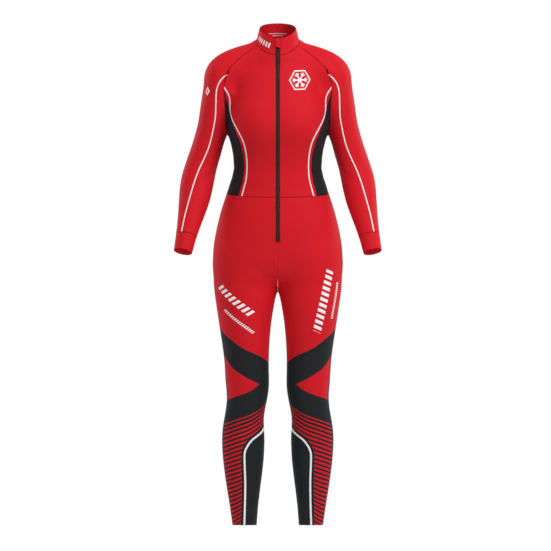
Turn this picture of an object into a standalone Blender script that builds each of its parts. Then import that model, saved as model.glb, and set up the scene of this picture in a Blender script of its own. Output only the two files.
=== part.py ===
"""Biathlon race suit: a one-piece stretch garment with a stand collar, a front zip and raglan sleeves.

The suit is filled out with no wearer. Its cloth is a thin wall over a plain, general figure: trunk, neck,
sleeves and legs are rounded forms with a few sections each, blended where they meet. The seams are curves on
that form, and every piece between seams is one wall of its own. Metres, +Z up, the front faces -Y, and the
wearer's left is +X. The origin is midway between the shoulders, at the level where the suit hangs from them.
"""
from collections import namedtuple

import bmesh
import bpy
import numpy as np

for item in list(bpy.data.objects):
    bpy.data.objects.remove(item)

# ---------------------------------------------------------------- cloth and seams
WALL = 0.0014               # knit cloth with its turned edges
SEAM_GAP = 0.0003           # clear space between two sewn pieces

# ---------------------------------------------------------------- levels and widths of the cut
WAIST_Z = -0.418            # seam between bodice and legs
ZIP_END_Z = -0.543          # the zip runs on below the waist seam
ZIP_STEP = 0.003            # height of the zip's closed end
ANKLE_Z = -1.364            # leg hem
ZIP_HALF = 0.005            # half of the zip strip that shows
GARAGE_HALF = 0.0108        # from the zip's middle to where the tab over its top is sewn on
GARAGE_EDGE = 0.0074        # and to the tab's free edge, on the wearer's left
GARAGE_FOOT = 0.0012        # height of the tab's lower edge over the zip's middle
CUFF_LENGTH = 0.049         # wrist band
GARAGE_SEAT = 0.0006        # clearance under the tab's edges
GARAGE_SLANT = 0.39         # the tab's lower edge drops towards the wearer's left
SLIDER_SIZE = (0.0066, 0.0016, 0.0080)
SLIDER_BEVEL = 0.0004
SLIDER_Z = 0.0125           # the closed slider, covered by the tab

# ---------------------------------------------------------------- columns and rows of the walls
FRONT_COLUMNS = 7           # centre front to side panel
SIDE_COLUMNS = 6            # half of a side panel
BACK_COLUMNS = 6            # side panel to centre back
SLEEVE_COLUMNS = 16         # once round a sleeve
LOWER_ROWS = 12             # waist seam to the top of the side panel
UPPER_ROWS = 8              # top of the side panel to the collar
SLEEVE_ROWS = 11            # underarm to cuff seam
ELBOW_ROW = 6               # of these, cuff seam to just above the elbow
ARM_ROW = 10                # and to just below the underarm
CUFF_ROWS = 3
ZIP_LEG_ROWS = 4            # waist seam to the end of the zip
CROTCH_ROWS = 6             # end of the zip to the crotch
SEAT_ROWS = 7               # crotch up to the same level at the back
INSEAM_ROWS = 16            # crotch to ankle
COLLAR_LEVELS = (0.0, 0.22, 0.45, 0.73, 1.0)   # the collar's rows as shares of its height
GARAGE_ROW = 2              # the collar's row at the tab's lower edge

# ---------------------------------------------------------------- the figure's sections
# Half width to the side and depth to the front and to the back of a core at x = 0, y = 0.
Trunk = namedtuple("Trunk", "z side front back")
TRUNK = (
    Trunk(-0.040, 0.086, 0.058, 0.078),
    Trunk(-0.080, 0.112, 0.078, 0.092),
    Trunk(-0.130, 0.130, 0.100, 0.102),
    Trunk(-0.180, 0.137, 0.116, 0.106),
    Trunk(-0.222, 0.139, 0.121, 0.103),
    Trunk(-0.250, 0.137, 0.118, 0.099),
    Trunk(-0.279, 0.131, 0.109, 0.089),
    Trunk(-0.313, 0.1255, 0.100, 0.0765),
    Trunk(-0.338, 0.1240, 0.097, 0.072),
    Trunk(-0.364, 0.1270, 0.0985, 0.073),
    Trunk(-0.398, 0.1370, 0.101, 0.079),
    Trunk(-0.432, 0.1480, 0.106, 0.090),
    Trunk(-0.466, 0.1588, 0.110, 0.106),
    Trunk(-0.500, 0.1672, 0.1125, 0.120),
    Trunk(-0.534, 0.1730, 0.112, 0.131),
    Trunk(-0.568, 0.1735, 0.109, 0.137),
    Trunk(-0.600, 0.1705, 0.104, 0.137),
    Trunk(-0.622, 0.1670, 0.096, 0.128),
)
TRUNK_POWER = 2.15          # a little squarer than an ellipse
TRUNK_CAP = 0.035           # rounding past the first and last section

Neck = namedtuple("Neck", "z side front back")
NECK = (
    Neck(-0.060, 0.060, 0.054, 0.064),
    Neck(-0.020, 0.0585, 0.0585, 0.064),
    Neck(0.010, 0.0575, 0.0595, 0.063),
    Neck(0.030, 0.0560, 0.0600, 0.063),
    Neck(0.050, 0.0515, 0.0595, 0.062),
    Neck(0.070, 0.0500, 0.0590, 0.061),
)
NECK_CAP = 0.040

# A sleeve's core runs from the middle of the yoke over the shoulder and down the arm. across is the half
# width square to the core as the front shows it, depth the half width from front to back.
Sleeve = namedtuple("Sleeve", "x y z across depth")
SLEEVE = (
    Sleeve(0.000, 0.018, -0.041, 0.053, 0.056),
    Sleeve(0.045, 0.017, -0.044, 0.054, 0.056),
    Sleeve(0.090, 0.015, -0.0565, 0.0555, 0.056),
    Sleeve(0.128, 0.013, -0.0685, 0.0540, 0.056),
    Sleeve(0.1500, 0.012, -0.0830, 0.0530, 0.056),
    Sleeve(0.1630, 0.012, -0.1250, 0.0470, 0.056),
    Sleeve(0.1745, 0.013, -0.175, 0.0430, 0.054),
    Sleeve(0.183, 0.015, -0.226, 0.0420, 0.051),
    Sleeve(0.200, 0.017, -0.293, 0.0430, 0.048),
    Sleeve(0.216, 0.013, -0.344, 0.0445, 0.046),
    Sleeve(0.2265, 0.000, -0.385, 0.0465, 0.044),
    Sleeve(0.2350, -0.021, -0.432, 0.0435, 0.041),
    Sleeve(0.2455, -0.044, -0.480, 0.0362, 0.036),
    Sleeve(0.2570, -0.068, -0.528, 0.0296, 0.031),
    Sleeve(0.2670, -0.089, -0.574, 0.0262, 0.027),
)
SLEEVE_CAP = 0.020

# A leg's sections: the centre, the half width and the depths in front of it and behind it.
Leg = namedtuple("Leg", "z x y half front back")
LEG = (
    Leg(-0.600, 0.0890, 0.004, 0.0800, 0.094, 0.108),
    Leg(-0.650, 0.0910, 0.000, 0.0890, 0.094, 0.108),
    Leg(-0.682, 0.0915, -0.002, 0.0885, 0.093, 0.102),
    Leg(-0.716, 0.0917, -0.004, 0.0842, 0.091, 0.096),
    Leg(-0.767, 0.0922, -0.005, 0.0763, 0.087, 0.087),
    Leg(-0.818, 0.0912, -0.005, 0.0696, 0.081, 0.079),
    Leg(-0.869, 0.0891, -0.004, 0.0643, 0.074, 0.072),
    Leg(-0.919, 0.0870, -0.002, 0.0617, 0.068, 0.066),
    Leg(-0.970, 0.0857, 0.000, 0.0604, 0.063, 0.062),
    Leg(-1.004, 0.0867, 0.003, 0.0569, 0.060, 0.061),
    Leg(-1.038, 0.0924, 0.008, 0.0550, 0.057, 0.062),
    Leg(-1.072, 0.0964, 0.013, 0.0568, 0.055, 0.063),
    Leg(-1.105, 0.0974, 0.017, 0.0595, 0.054, 0.063),
    Leg(-1.139, 0.0976, 0.019, 0.0594, 0.053, 0.062),
    Leg(-1.173, 0.0971, 0.020, 0.0577, 0.051, 0.059),
    Leg(-1.207, 0.0971, 0.020, 0.0542, 0.049, 0.054),
    Leg(-1.241, 0.0968, 0.020, 0.0497, 0.046, 0.048),
    Leg(-1.275, 0.0963, 0.019, 0.0450, 0.043, 0.042),
    Leg(-1.308, 0.0956, 0.018, 0.0404, 0.040, 0.039),
    Leg(-1.364, 0.0938, 0.018, 0.0342, 0.038, 0.037),
)
LEG_CAP = 0.060

# Fullness that the darted cut gives the chest, on each side of the zip.
CHEST_X, CHEST_Z = 0.071, -0.207
CHEST_SPREAD = 0.043
CHEST_RISE = 0.013
CHEST_FADE = 0.03           # depth over which it fades out towards the back

# How far two forms blend into each other where they meet.
LEG_TO_LEG = 0.0045
LEG_TO_TRUNK = 0.018
NECK_BLEND = 0.007
SLEEVE_BLEND = 0.012         # over the shoulder
UNDERARM_BLEND = 0.007       # at the underarm, where the sleeve hangs free of the body
UNDERARM_Z, SHOULDER_Z = -0.215, -0.110

# ---------------------------------------------------------------- seam tables
# Height of the collar's two edges round the neck; turn is 0 at the front, 90 at the side, 180 at the back.
NeckEdge = namedtuple("NeckEdge", "turn seam rim")
NECK_EDGES = (
    NeckEdge(0, -0.0205, 0.0275),
    NeckEdge(12, -0.0195, 0.0280),
    NeckEdge(27, -0.0155, 0.0325),
    NeckEdge(45, -0.0070, 0.0390),
    NeckEdge(64, 0.0040, 0.0450),
    NeckEdge(90, 0.0165, 0.0497),
    NeckEdge(120, 0.0180, 0.0535),
    NeckEdge(150, 0.0150, 0.0560),
    NeckEdge(180, 0.0125, 0.0568),
)
NECK_Y = 0.002              # middle of the neck
RAGLAN_FRONT_TURN = 65      # where the raglan seams reach the collar
RAGLAN_BACK_TURN = 138

# Seams as the front and the back show them, from low to high.
SeamPoint = namedtuple("SeamPoint", "x z")
FRONT_SIDE_SEAM = (
    SeamPoint(0.111, WAIST_Z),
    SeamPoint(0.098, -0.364),
    SeamPoint(0.096, -0.315),
    SeamPoint(0.106, -0.268),
    SeamPoint(0.126, -0.218),
    SeamPoint(0.138, -0.175),
    SeamPoint(0.151, -0.128),
)
BACK_SIDE_SEAM = (
    SeamPoint(0.107, WAIST_Z),
    SeamPoint(0.096, -0.364),
    SeamPoint(0.095, -0.315),
    SeamPoint(0.104, -0.268),
    SeamPoint(0.121, -0.218),
    SeamPoint(0.133, -0.175),
    SeamPoint(0.144, -0.132),
)
FRONT_RAGLAN = (
    SeamPoint(0.151, -0.128),
    SeamPoint(0.1515, -0.111),
    SeamPoint(0.148, -0.096),
    SeamPoint(0.137, -0.064),
    SeamPoint(0.114, -0.039),
)
BACK_RAGLAN = (
    SeamPoint(0.144, -0.132),
    SeamPoint(0.140, -0.108),
    SeamPoint(0.126, -0.074),
    SeamPoint(0.101, -0.038),
    SeamPoint(0.070, -0.008),
)
# The armhole below the side panel's top: swing is 0 at the front, 90 straight down, 180 at the back.
ArmholePoint = namedtuple("ArmholePoint", "swing x")
ARMHOLE = (
    ArmholePoint(0, 0.1510),
    ArmholePoint(30, 0.1495),
    ArmholePoint(55, 0.1470),
    ArmholePoint(75, 0.1455),
    ArmholePoint(90, 0.1415),
    ArmholePoint(105, 0.1385),
    ArmholePoint(125, 0.1375),
    ArmholePoint(150, 0.1405),
    ArmholePoint(180, 0.1440),
)
ARMHOLE_Y = 0.012
CROTCH_Y = 0.010            # the seam between the legs is looked for from this line

# A point inside the body, level by level, from which the leg panels' rows spread.
Middle = namedtuple("Middle", "z x y")
HIP_MIDDLE = (
    Middle(-0.400, 0.040, 0.000),
    Middle(-0.500, 0.052, 0.004),
    Middle(-0.600, 0.080, 0.004),
    Middle(-0.682, 0.091, 0.002),
)

# ---------------------------------------------------------------- finishes
Finish = namedtuple("Finish", "colour roughness metallic")
RED_KNIT = Finish((0.745, 0.018, 0.030), 0.55, 0.0)
BLACK_KNIT = Finish((0.022, 0.024, 0.027), 0.60, 0.0)
ZIP_KNIT = Finish((0.022, 0.024, 0.027), 0.50, 0.0)
SLIDER_METAL = Finish((0.022, 0.024, 0.027), 0.35, 0.8)

# ---------------------------------------------------------------- directions and small steps
FRONT = np.array((0.0, -1.0, 0.0))
OUT = np.array((1.0, 0.0, 0.0))
UP = np.array((0.0, 0.0, 1.0))
TINY = 1e-9
REACH = 0.25                # longest ray that looks for the skin
VIEW_DISTANCE = 0.20        # where rays from the front or the back start
SLOPE_STEP = 0.0006
CORE_STEP = 0.004           # along the sleeve's core, as a share of its length
LONGEST_MOVE = 0.02         # of a point on its way to the skin


# ================================================================ smooth tables
class Track:
    """A smooth curve through the rows of a short table, whose first column runs along it."""

    def __init__(self, rows):
        table = np.array(sorted(tuple(row) for row in rows), dtype=float)
        self.steps = table[:, 0]
        self.values = table[:, 1:]
        self.slopes = np.gradient(self.values, self.steps, axis=0)

    def __call__(self, where):
        where = np.clip(np.asarray(where, dtype=float), self.steps[0], self.steps[-1])
        low = np.clip(np.searchsorted(self.steps, where, side="right") - 1, 0, len(self.steps) - 2)
        span = (self.steps[low + 1] - self.steps[low])[..., None]
        s = (where - self.steps[low])[..., None] / span
        start = self.values[low] * (1 + 2 * s) * (1 - s) ** 2 + self.slopes[low] * span * s * (1 - s) ** 2
        end = self.values[low + 1] * s * s * (3 - 2 * s) + self.slopes[low + 1] * span * s * s * (s - 1)
        return start + end


def along(rows):
    """A track over the same rows whose first column is the distance along them, from 0 to 1."""
    table = np.array([tuple(row) for row in rows], dtype=float)
    steps = np.linalg.norm(np.diff(table[:, :3], axis=0), axis=1)
    distance = np.concatenate(([0.0], np.cumsum(steps))) / steps.sum()
    return Track(np.column_stack((distance, table)))


def unit(vectors):
    return vectors / (np.linalg.norm(vectors, axis=-1, keepdims=True) + TINY)


def dot(a, b):
    return np.sum(a * b, axis=-1)


# ================================================================ the figure
TRUNK_TRACK = Track(TRUNK)
NECK_TRACK = Track(NECK)
LEG_TRACK = Track(LEG)
SLEEVE_TRACK = along(SLEEVE)
NECK_EDGE_TRACK = Track(NECK_EDGES)
ARMHOLE_TRACK = Track(ARMHOLE)
MIDDLE_TRACK = Track(HIP_MIDDLE)
SLEEVE_SEARCH = np.linspace(0.0, 1.0, 70)
SLEEVE_SEARCH_POINTS = SLEEVE_TRACK(SLEEVE_SEARCH)[:, :3]


def rounded(offset, half_sizes, power):
    """Signed distance, along the ray from the middle, to a rounded form of these half sizes."""
    reach = np.linalg.norm(offset, axis=-1) + TINY
    scale = np.sum(np.abs(offset / half_sizes) ** power, axis=-1) ** (1 / power) + TINY
    return reach - reach / scale


def upright_form(points, track, cap, power):
    """A form with level sections round a straight core at x = 0."""
    level = np.clip(points[..., 2], track.steps[0], track.steps[-1])
    side, front, back = np.moveaxis(track(level), -1, 0)
    offset = points - level[..., None] * UP
    depth = np.where(offset[..., 1] < 0, front, back)
    return rounded(offset, np.stack((side, depth, np.full_like(side, cap)), axis=-1), power)


def leg_form(points, sign):
    """A leg with level sections; sign is 1 for the wearer's left and -1 for the right."""
    level = np.clip(points[..., 2], LEG_TRACK.steps[0], LEG_TRACK.steps[-1])
    x, y, half, front, back = np.moveaxis(LEG_TRACK(level), -1, 0)
    offset = points - np.stack((sign * x, y, level), axis=-1)
    depth = np.where(offset[..., 1] < 0, front, back)
    return rounded(offset, np.stack((half, depth, np.full_like(half, LEG_CAP)), axis=-1), 2.0)


def nearest_on_sleeve(points):
    """The place along the sleeve's core that lies nearest to each point."""
    gaps = np.linalg.norm(points[:, None, :] - SLEEVE_SEARCH_POINTS[None], axis=2)
    place = SLEEVE_SEARCH[np.argmin(gaps, axis=1)]
    step = SLEEVE_SEARCH[1]
    for _ in range(3):
        place = np.clip(place, step, 1 - step)
        before, here, after = (
            np.sum((points - SLEEVE_TRACK(place + move)[:, :3]) ** 2, axis=1) for move in (-step, 0, step)
        )
        bend = np.maximum(before - 2 * here + after, TINY)
        place = place + step * np.clip((before - after) / (2 * bend), -1, 1)
        step = step / 2
    return np.clip(place, 0, 1)


def sleeve_frame(place):
    """Core point, outward, forward and lengthwise directions, and the half sizes at a place on the core."""
    row = SLEEVE_TRACK(place)
    ahead = SLEEVE_TRACK(np.clip(place + CORE_STEP, 0, 1))[..., :3]
    behind = SLEEVE_TRACK(np.clip(place - CORE_STEP, 0, 1))[..., :3]
    length = unit(ahead - behind)
    outward = unit(np.cross(FRONT, length))
    return row[..., :3], outward, np.cross(length, outward), length, row[..., 3:]


def sleeve_form(points):
    """Both sleeves and the yoke between them."""
    mirrored = points * np.where(points[..., :1] < 0, (-1, 1, 1), (1, 1, 1))
    core, outward, forward, length, sizes = sleeve_frame(nearest_on_sleeve(mirrored))
    offset = mirrored - core
    local = np.stack((dot(offset, outward), dot(offset, forward), dot(offset, length)), axis=-1)
    cap = np.full_like(sizes[:, :1], SLEEVE_CAP)
    return rounded(local, np.concatenate((sizes, cap), axis=1), 2.0)


def blend(a, b, size):
    """Union of two forms with a soft valley where they meet."""
    return np.minimum(a, b) - size * np.log1p(np.exp(-np.abs(a - b) / size))


def skin(points):
    """Signed distance to the figure's skin: negative inside."""
    flat = points.reshape(-1, 3)
    legs = blend(leg_form(flat, 1), leg_form(flat, -1), LEG_TO_LEG)
    body = blend(upright_form(flat, TRUNK_TRACK, TRUNK_CAP, TRUNK_POWER), legs, LEG_TO_TRUNK)
    spread = ((np.abs(flat[:, 0]) - CHEST_X) ** 2 + (flat[:, 2] - CHEST_Z) ** 2) / (2 * CHEST_SPREAD ** 2)
    body = body - CHEST_RISE * np.exp(-spread) * (0.5 - 0.5 * np.tanh(flat[:, 1] / CHEST_FADE))
    rise = np.clip((flat[:, 2] - UNDERARM_Z) / (SHOULDER_Z - UNDERARM_Z), 0, 1)
    size = UNDERARM_BLEND + (SLEEVE_BLEND - UNDERARM_BLEND) * rise * rise * (3 - 2 * rise)
    body = blend(body, sleeve_form(flat), size)
    body = blend(body, upright_form(flat, NECK_TRACK, NECK_CAP, 2.0), NECK_BLEND)
    return body.reshape(points.shape[:-1])


def slope(points):
    """Gradient of the signed distance."""
    return np.stack([(skin(points + SLOPE_STEP * axis) - skin(points - SLOPE_STEP * axis)) / (2 * SLOPE_STEP)
                     for axis in np.eye(3)], axis=-1)


def settle(points, rounds=4):
    """Move points onto the skin by the shortest way."""
    for _ in range(rounds):
        gradient = slope(points)
        step = (skin(points) / np.maximum(dot(gradient, gradient), 0.1))[..., None] * gradient
        size = np.linalg.norm(step, axis=-1, keepdims=True)
        points = points - step * np.minimum(1.0, LONGEST_MOVE / (size + TINY))
    return points


def cast(origins, directions, steps=60):
    """The first place where each ray passes through the skin."""
    directions = unit(directions)
    start_sign = np.sign(skin(origins))
    low = np.zeros(origins.shape[:-1])
    high = np.full(origins.shape[:-1], REACH)
    found = np.zeros(origins.shape[:-1], dtype=bool)
    for i in range(1, steps + 1):
        distance = REACH * i / steps
        crossed = (np.sign(skin(origins + distance * directions)) != start_sign) & ~found
        high = np.where(crossed, distance, high)
        low = np.where(crossed, distance - REACH / steps, low)
        found |= crossed
    for _ in range(18):
        middle = (low + high) / 2
        same = np.sign(skin(origins + middle[..., None] * directions)) == start_sign
        low = np.where(same, middle, low)
        high = np.where(same, high, middle)
    return origins + high[..., None] * directions


def seen_from(side, x, z):
    """Skin at this x and z, seen from the side that a direction points to."""
    x, z = np.broadcast_arrays(np.asarray(x, float), np.asarray(z, float))
    origins = np.stack((x, np.zeros_like(x), z), axis=-1) + VIEW_DISTANCE * side
    return cast(origins, -side * np.ones_like(origins))


def from_front(x, z):
    return seen_from(FRONT, x, z)


def from_back(x, z):
    return seen_from(-FRONT, x, z)


# ================================================================ seams
def evenly(curve, pieces, fine=160, crowd=1.0):
    """Points along a curve from 0 to 1 of its parameter, spaced evenly, or closer at the start."""
    s = np.linspace(0, 1, fine)
    steps = np.linalg.norm(np.diff(curve(s), axis=0), axis=1)
    distance = np.concatenate(([0.0], np.cumsum(steps)))
    return curve(np.interp(distance[-1] * np.linspace(0, 1, pieces + 1) ** crowd, distance, s))


def seam_from(view, rows, end=None):
    """A curve on the skin through the rows of a seam table, on to a given end point."""
    points = [tuple(row) for row in rows]
    if end is not None:
        points.append((end[0], end[2]))
    table = np.array(points)
    steps = np.linalg.norm(np.diff(table, axis=0), axis=1)
    track = Track(np.column_stack((np.concatenate(([0.0], np.cumsum(steps))) / steps.sum(), table)))
    return lambda s: view(*np.moveaxis(track(s), -1, 0))


def neck_point(turn, height):
    """Skin round the neck at a turn in degrees and a height."""
    turn, height = np.broadcast_arrays(np.radians(turn), height)
    origins = np.stack((np.zeros_like(height), np.full_like(height, NECK_Y), height), axis=-1)
    rays = np.stack((np.sin(turn), -np.cos(turn), np.zeros_like(turn)), axis=-1)
    return cast(origins, rays)


def neckline(first, last):
    """The collar seam between two turns."""
    def curve(s):
        turn = first + (last - first) * s
        return neck_point(turn, NECK_EDGE_TRACK(turn)[..., 0])
    return curve


def armhole(first, last):
    """The armhole below the side panel's top, between two swings in degrees."""
    def curve(s):
        swing = first + (last - first) * s
        x = ARMHOLE_TRACK(swing)[..., 0]
        angle = np.radians(swing)
        origins = np.stack((x, np.full_like(x, ARMHOLE_Y), np.full_like(x, FRONT_RAGLAN[0].z)), axis=-1)
        rays = np.stack((np.zeros_like(x), -np.cos(angle), -np.sin(angle)), axis=-1)
        return cast(origins, rays)
    return curve


def crotch(first, last):
    """The seam in the middle plane from the zip's end down to the crotch and up the back."""
    def curve(s):
        swing = np.radians(first + (last - first) * s)
        rays = np.stack((np.zeros_like(swing), -np.cos(swing), -np.sin(swing)), axis=-1)
        return cast(np.array((0.0, CROTCH_Y, ZIP_END_Z - ZIP_STEP)) * np.ones_like(rays), rays)
    return curve


def middle(z):
    """The point inside a leg panel's level from which its row spreads."""
    upper = MIDDLE_TRACK(z)
    lower = LEG_TRACK(z)[..., :2]
    return np.concatenate((np.where((z > HIP_MIDDLE[-1].z)[..., None], upper, lower), z[..., None]), axis=-1)


def level_seam(direction, first, last):
    """A seam down the leg that faces out (1) or in (-1), between two levels."""
    def curve(s):
        z = first + (last - first) * s
        return cast(middle(z), direction * OUT * np.ones(z.shape + (1,)))
    return curve


# ================================================================ panels as grids of points on the skin
def join(*runs):
    """Runs of seam points end to end, with each shared point kept once."""
    return np.concatenate([runs[0]] + [run[1:] for run in runs[1:]])


def relax(grid, rounds=14):
    """Even out the inner points of a grid whose edges stay, keeping them on the skin."""
    for _ in range(rounds):
        neighbours = grid[:-2, 1:-1] + grid[2:, 1:-1] + grid[1:-1, :-2] + grid[1:-1, 2:]
        grid[1:-1, 1:-1] = settle(neighbours / 4, 1)
    grid[1:-1, 1:-1] = settle(grid[1:-1, 1:-1])
    return grid


def patch(bottom, top, left, right):
    """A panel between four seams: bottom and top run across, left and right run up."""
    across = np.linspace(0, 1, len(bottom))[None, :, None]
    up = np.linspace(0, 1, len(left))[:, None, None]
    ruled = (1 - up) * bottom[None] + up * top[None] + (1 - across) * left[:, None] + across * right[:, None]
    corners = ((1 - up) * ((1 - across) * bottom[0] + across * bottom[-1])
               + up * ((1 - across) * top[0] + across * top[-1]))
    grid = ruled - corners
    grid[0], grid[-1], grid[:, 0], grid[:, -1] = bottom, top, left, right
    grid[1:-1, 1:-1] = settle(grid[1:-1, 1:-1], 8)
    return relax(grid)


def fan_row(centre, out, side, length, start, end, hints, columns):
    """Points on the skin from start round to end, on rays that spread from a point inside.

    hints are the rough angles of start and end, from the outward direction towards the side direction.
    """
    angles, tilts = [], []
    for point, hint in zip((start, end), hints):
        ray = point - centre
        angle = np.arctan2(dot(ray, side), dot(ray, out))
        angles.append(hint + (angle - hint + np.pi) % (2 * np.pi) - np.pi)
        tilts.append(dot(ray, length) / np.hypot(dot(ray, out), dot(ray, side)))
    angle = np.linspace(*angles, columns + 1)[:, None]
    tilt = np.linspace(*tilts, columns + 1)[:, None]
    rays = np.cos(angle) * out + np.sin(angle) * side + tilt * length
    row = cast(centre * np.ones_like(rays), rays)
    row[0], row[-1] = start, end
    return row


def leg_panel(top, first, last, side, hints):
    """Front or back half of a leg: its top row, and the seams down its two edges."""
    rows = [top]
    for start, end in zip(first[1:], last[1:]):
        level = end[2] if hints[1] == 0 else start[2]
        rows.append(fan_row(middle(np.array(level)), OUT, side, UP, start, end, hints, len(top) - 1))
    return relax(np.array(rows))[::-1]


def sleeve_ring(place):
    """A ring round the sleeve square to its core, from the underarm round by the front."""
    core, outward, forward, _, _ = sleeve_frame(np.array(place))
    angle = np.linspace(np.pi, -np.pi, SLEEVE_COLUMNS + 1)[:-1, None]
    rays = np.cos(angle) * outward + np.sin(angle) * forward
    return cast(core * np.ones_like(rays), rays)


# ================================================================ walls
def quads_of(rows, columns):
    """Faces of an open grid, seen from outside with rows running up and columns to the right."""
    return [(r * columns + c, r * columns + c + 1, (r + 1) * columns + c + 1, (r + 1) * columns + c)
            for r in range(rows - 1) for c in range(columns - 1)]


def edge_runs(faces):
    """Each border point's neighbour before it and after it."""
    edges = {(face[i], face[(i + 1) % len(face)]) for face in faces for i in range(len(face))}
    border = [(a, b) for a, b in edges if (b, a) not in edges]
    return {b: a for a, b in border}, dict(border)


def pull_in(points, normals, faces, distance):
    """Points with the border moved into the piece by a distance square to its edges."""
    before, after = edge_runs(faces)
    moved = points.copy()
    for here in after:
        into = [unit(np.cross(normals[here], points[b] - points[a]))
                for a, b in ((before[here], here), (here, after[here]))]
        moved[here] += distance * (into[0] + into[1]) / max(1 + dot(into[0], into[1]), 0.12)
    return moved


def shorter_diagonals(points, faces):
    """Four-sided faces cut along their shorter diagonal."""
    triangles = []
    for a, b, c, d in faces:
        if np.linalg.norm(points[a] - points[c]) <= np.linalg.norm(points[b] - points[d]):
            triangles += [(a, b, c), (a, c, d)]
        else:
            triangles += [(a, b, d), (b, c, d)]
    return triangles


def make_material(name, finish):
    material = bpy.data.materials.new(name)
    material.use_nodes = True
    shader = material.node_tree.nodes["Principled BSDF"]
    shader.inputs["Base Color"].default_value = (*finish.colour, 1.0)
    shader.inputs["Roughness"].default_value = finish.roughness
    shader.inputs["Metallic"].default_value = finish.metallic
    return material


def add_object(name, mesh, finish):
    """A node of the suit with its own material."""
    mesh.materials.append(make_material(name, finish))
    mesh.shade_smooth()
    mesh.set_sharp_from_angle(angle=np.radians(45))
    item = bpy.data.objects.new(name, mesh)
    COLLECTION.objects.link(item)
    return item


def add_wall(name, points, faces, finish, lift=0.0):
    """A closed wall of cloth: outer points on the skin, raised by lift, and inner points behind them.

    The rim's faces are cut by a rule on the seam's own points, so that both pieces at a seam agree.
    """
    normals = unit(slope(points))
    moved = pull_in(points, normals, faces, SEAM_GAP / 2)
    outer = moved + np.reshape(lift, (-1, 1)) * normals
    inner = outer - WALL * normals
    shift = len(points)
    triangles = shorter_diagonals(points, faces)
    back = [tuple(shift + i for i in reversed(triangle)) for triangle in triangles]
    _, after = edge_runs(faces)
    rim = []
    for a, b in after.items():
        if tuple(np.round(np.abs(points[a][::-1]), 7)) < tuple(np.round(np.abs(points[b][::-1]), 7)):
            rim += [(b, a, shift + b), (a, shift + a, shift + b)]
        else:
            rim += [(b, a, shift + a), (b, shift + a, shift + b)]
    mesh = bpy.data.meshes.new(name)
    mesh.from_pydata(np.concatenate((outer, inner)).tolist(), [], triangles + back + rim)
    add_object(name, mesh, finish)


def add_grid(name, grid, finish):
    add_wall(name, grid.reshape(-1, 3), quads_of(*grid.shape[:2]), finish)


def mirror_grid(grid):
    """The same piece on the wearer's other side."""
    return (grid * (-1, 1, 1))[:, ::-1]


def add_pair(name, grid, finish):
    """A piece on the wearer's left and its mirror image on the right."""
    add_grid(name + "_left", grid, finish)
    add_grid(name + "_right", mirror_grid(grid), finish)


# ================================================================ the pieces
def across_front(curve, fine=200):
    """Points on a curve that leaves the centre front: the zip's edge, the garage's edge, then evenly."""
    s = np.linspace(0, 1, fine)
    points = curve(s)
    distance = np.concatenate(([0.0], np.cumsum(np.linalg.norm(np.diff(points, axis=0), axis=1))))
    first, second = np.interp((ZIP_HALF, GARAGE_HALF), points[:, 0], distance)
    places = np.concatenate(([first], np.linspace(second, distance[-1], FRONT_COLUMNS)))
    return curve(np.interp(places, distance, s))


def down_front(x, first, last):
    """A line down the front at one x, between two levels."""
    return lambda s: from_front(x, first + (last - first) * s)


def turn_of(point, centre_y=0.0):
    return np.degrees(np.arctan2(point[..., 0], centre_y - point[..., 1]))


def waistline(first, last):
    """The waist seam between two turns."""
    def curve(s):
        turn = np.radians(first + (last - first) * s)
        rays = np.stack((np.sin(turn), -np.cos(turn), np.zeros_like(turn)), axis=-1)
        return cast(WAIST_Z * UP * np.ones_like(rays), rays)
    return curve


def with_ends(points, first=None, last=None):
    """The same points with an end replaced by the neighbour's own corner."""
    points = points.copy()
    if first is not None:
        points[0] = first
    if last is not None:
        points[-1] = last
    return points


# Corners where three or more pieces meet.
NECK_CORNER_FRONT = neckline(0, RAGLAN_FRONT_TURN)(np.array([1.0]))[0]
NECK_CORNER_BACK = neckline(0, RAGLAN_BACK_TURN)(np.array([1.0]))[0]
SIDE_TOP_FRONT = from_front(*FRONT_RAGLAN[0])
SIDE_TOP_BACK = from_back(*BACK_RAGLAN[0])
UNDERARM = armhole(90, 90)(np.array([0.0]))[0]
CROTCH = crotch(90, 90)(np.array([0.0]))[0]

# Seams of the bodice and the sleeve, each sampled once, so that both of its pieces have the same points.
RAGLAN_TOP_FRONT = with_ends(evenly(seam_from(from_front, FRONT_RAGLAN, NECK_CORNER_FRONT), UPPER_ROWS),
                             SIDE_TOP_FRONT, NECK_CORNER_FRONT)
RAGLAN_TOP_BACK = with_ends(evenly(seam_from(from_back, BACK_RAGLAN, NECK_CORNER_BACK), UPPER_ROWS),
                            SIDE_TOP_BACK, NECK_CORNER_BACK)
RAGLAN_LOW_FRONT = with_ends(evenly(armhole(90, 0), SIDE_COLUMNS, crowd=1.4), UNDERARM, SIDE_TOP_FRONT)
RAGLAN_LOW_BACK = with_ends(evenly(armhole(90, 180), SIDE_COLUMNS, crowd=1.4), UNDERARM, SIDE_TOP_BACK)
SIDE_FRONT = with_ends(evenly(seam_from(from_front, FRONT_SIDE_SEAM), LOWER_ROWS), last=SIDE_TOP_FRONT)
SIDE_BACK = with_ends(evenly(seam_from(from_back, BACK_SIDE_SEAM), LOWER_ROWS), last=SIDE_TOP_BACK)
WAIST_FRONT = with_ends(across_front(waistline(0, turn_of(SIDE_FRONT[0]))), last=SIDE_FRONT[0])
WAIST_SIDE_FRONT = with_ends(evenly(waistline(turn_of(SIDE_FRONT[0]), 90), SIDE_COLUMNS), SIDE_FRONT[0])
WAIST_SIDE_BACK = with_ends(evenly(waistline(90, turn_of(SIDE_BACK[0])), SIDE_COLUMNS),
                            WAIST_SIDE_FRONT[-1], SIDE_BACK[0])
WAIST_BACK = with_ends(evenly(waistline(turn_of(SIDE_BACK[0]), 180), BACK_COLUMNS), SIDE_BACK[0])
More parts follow.
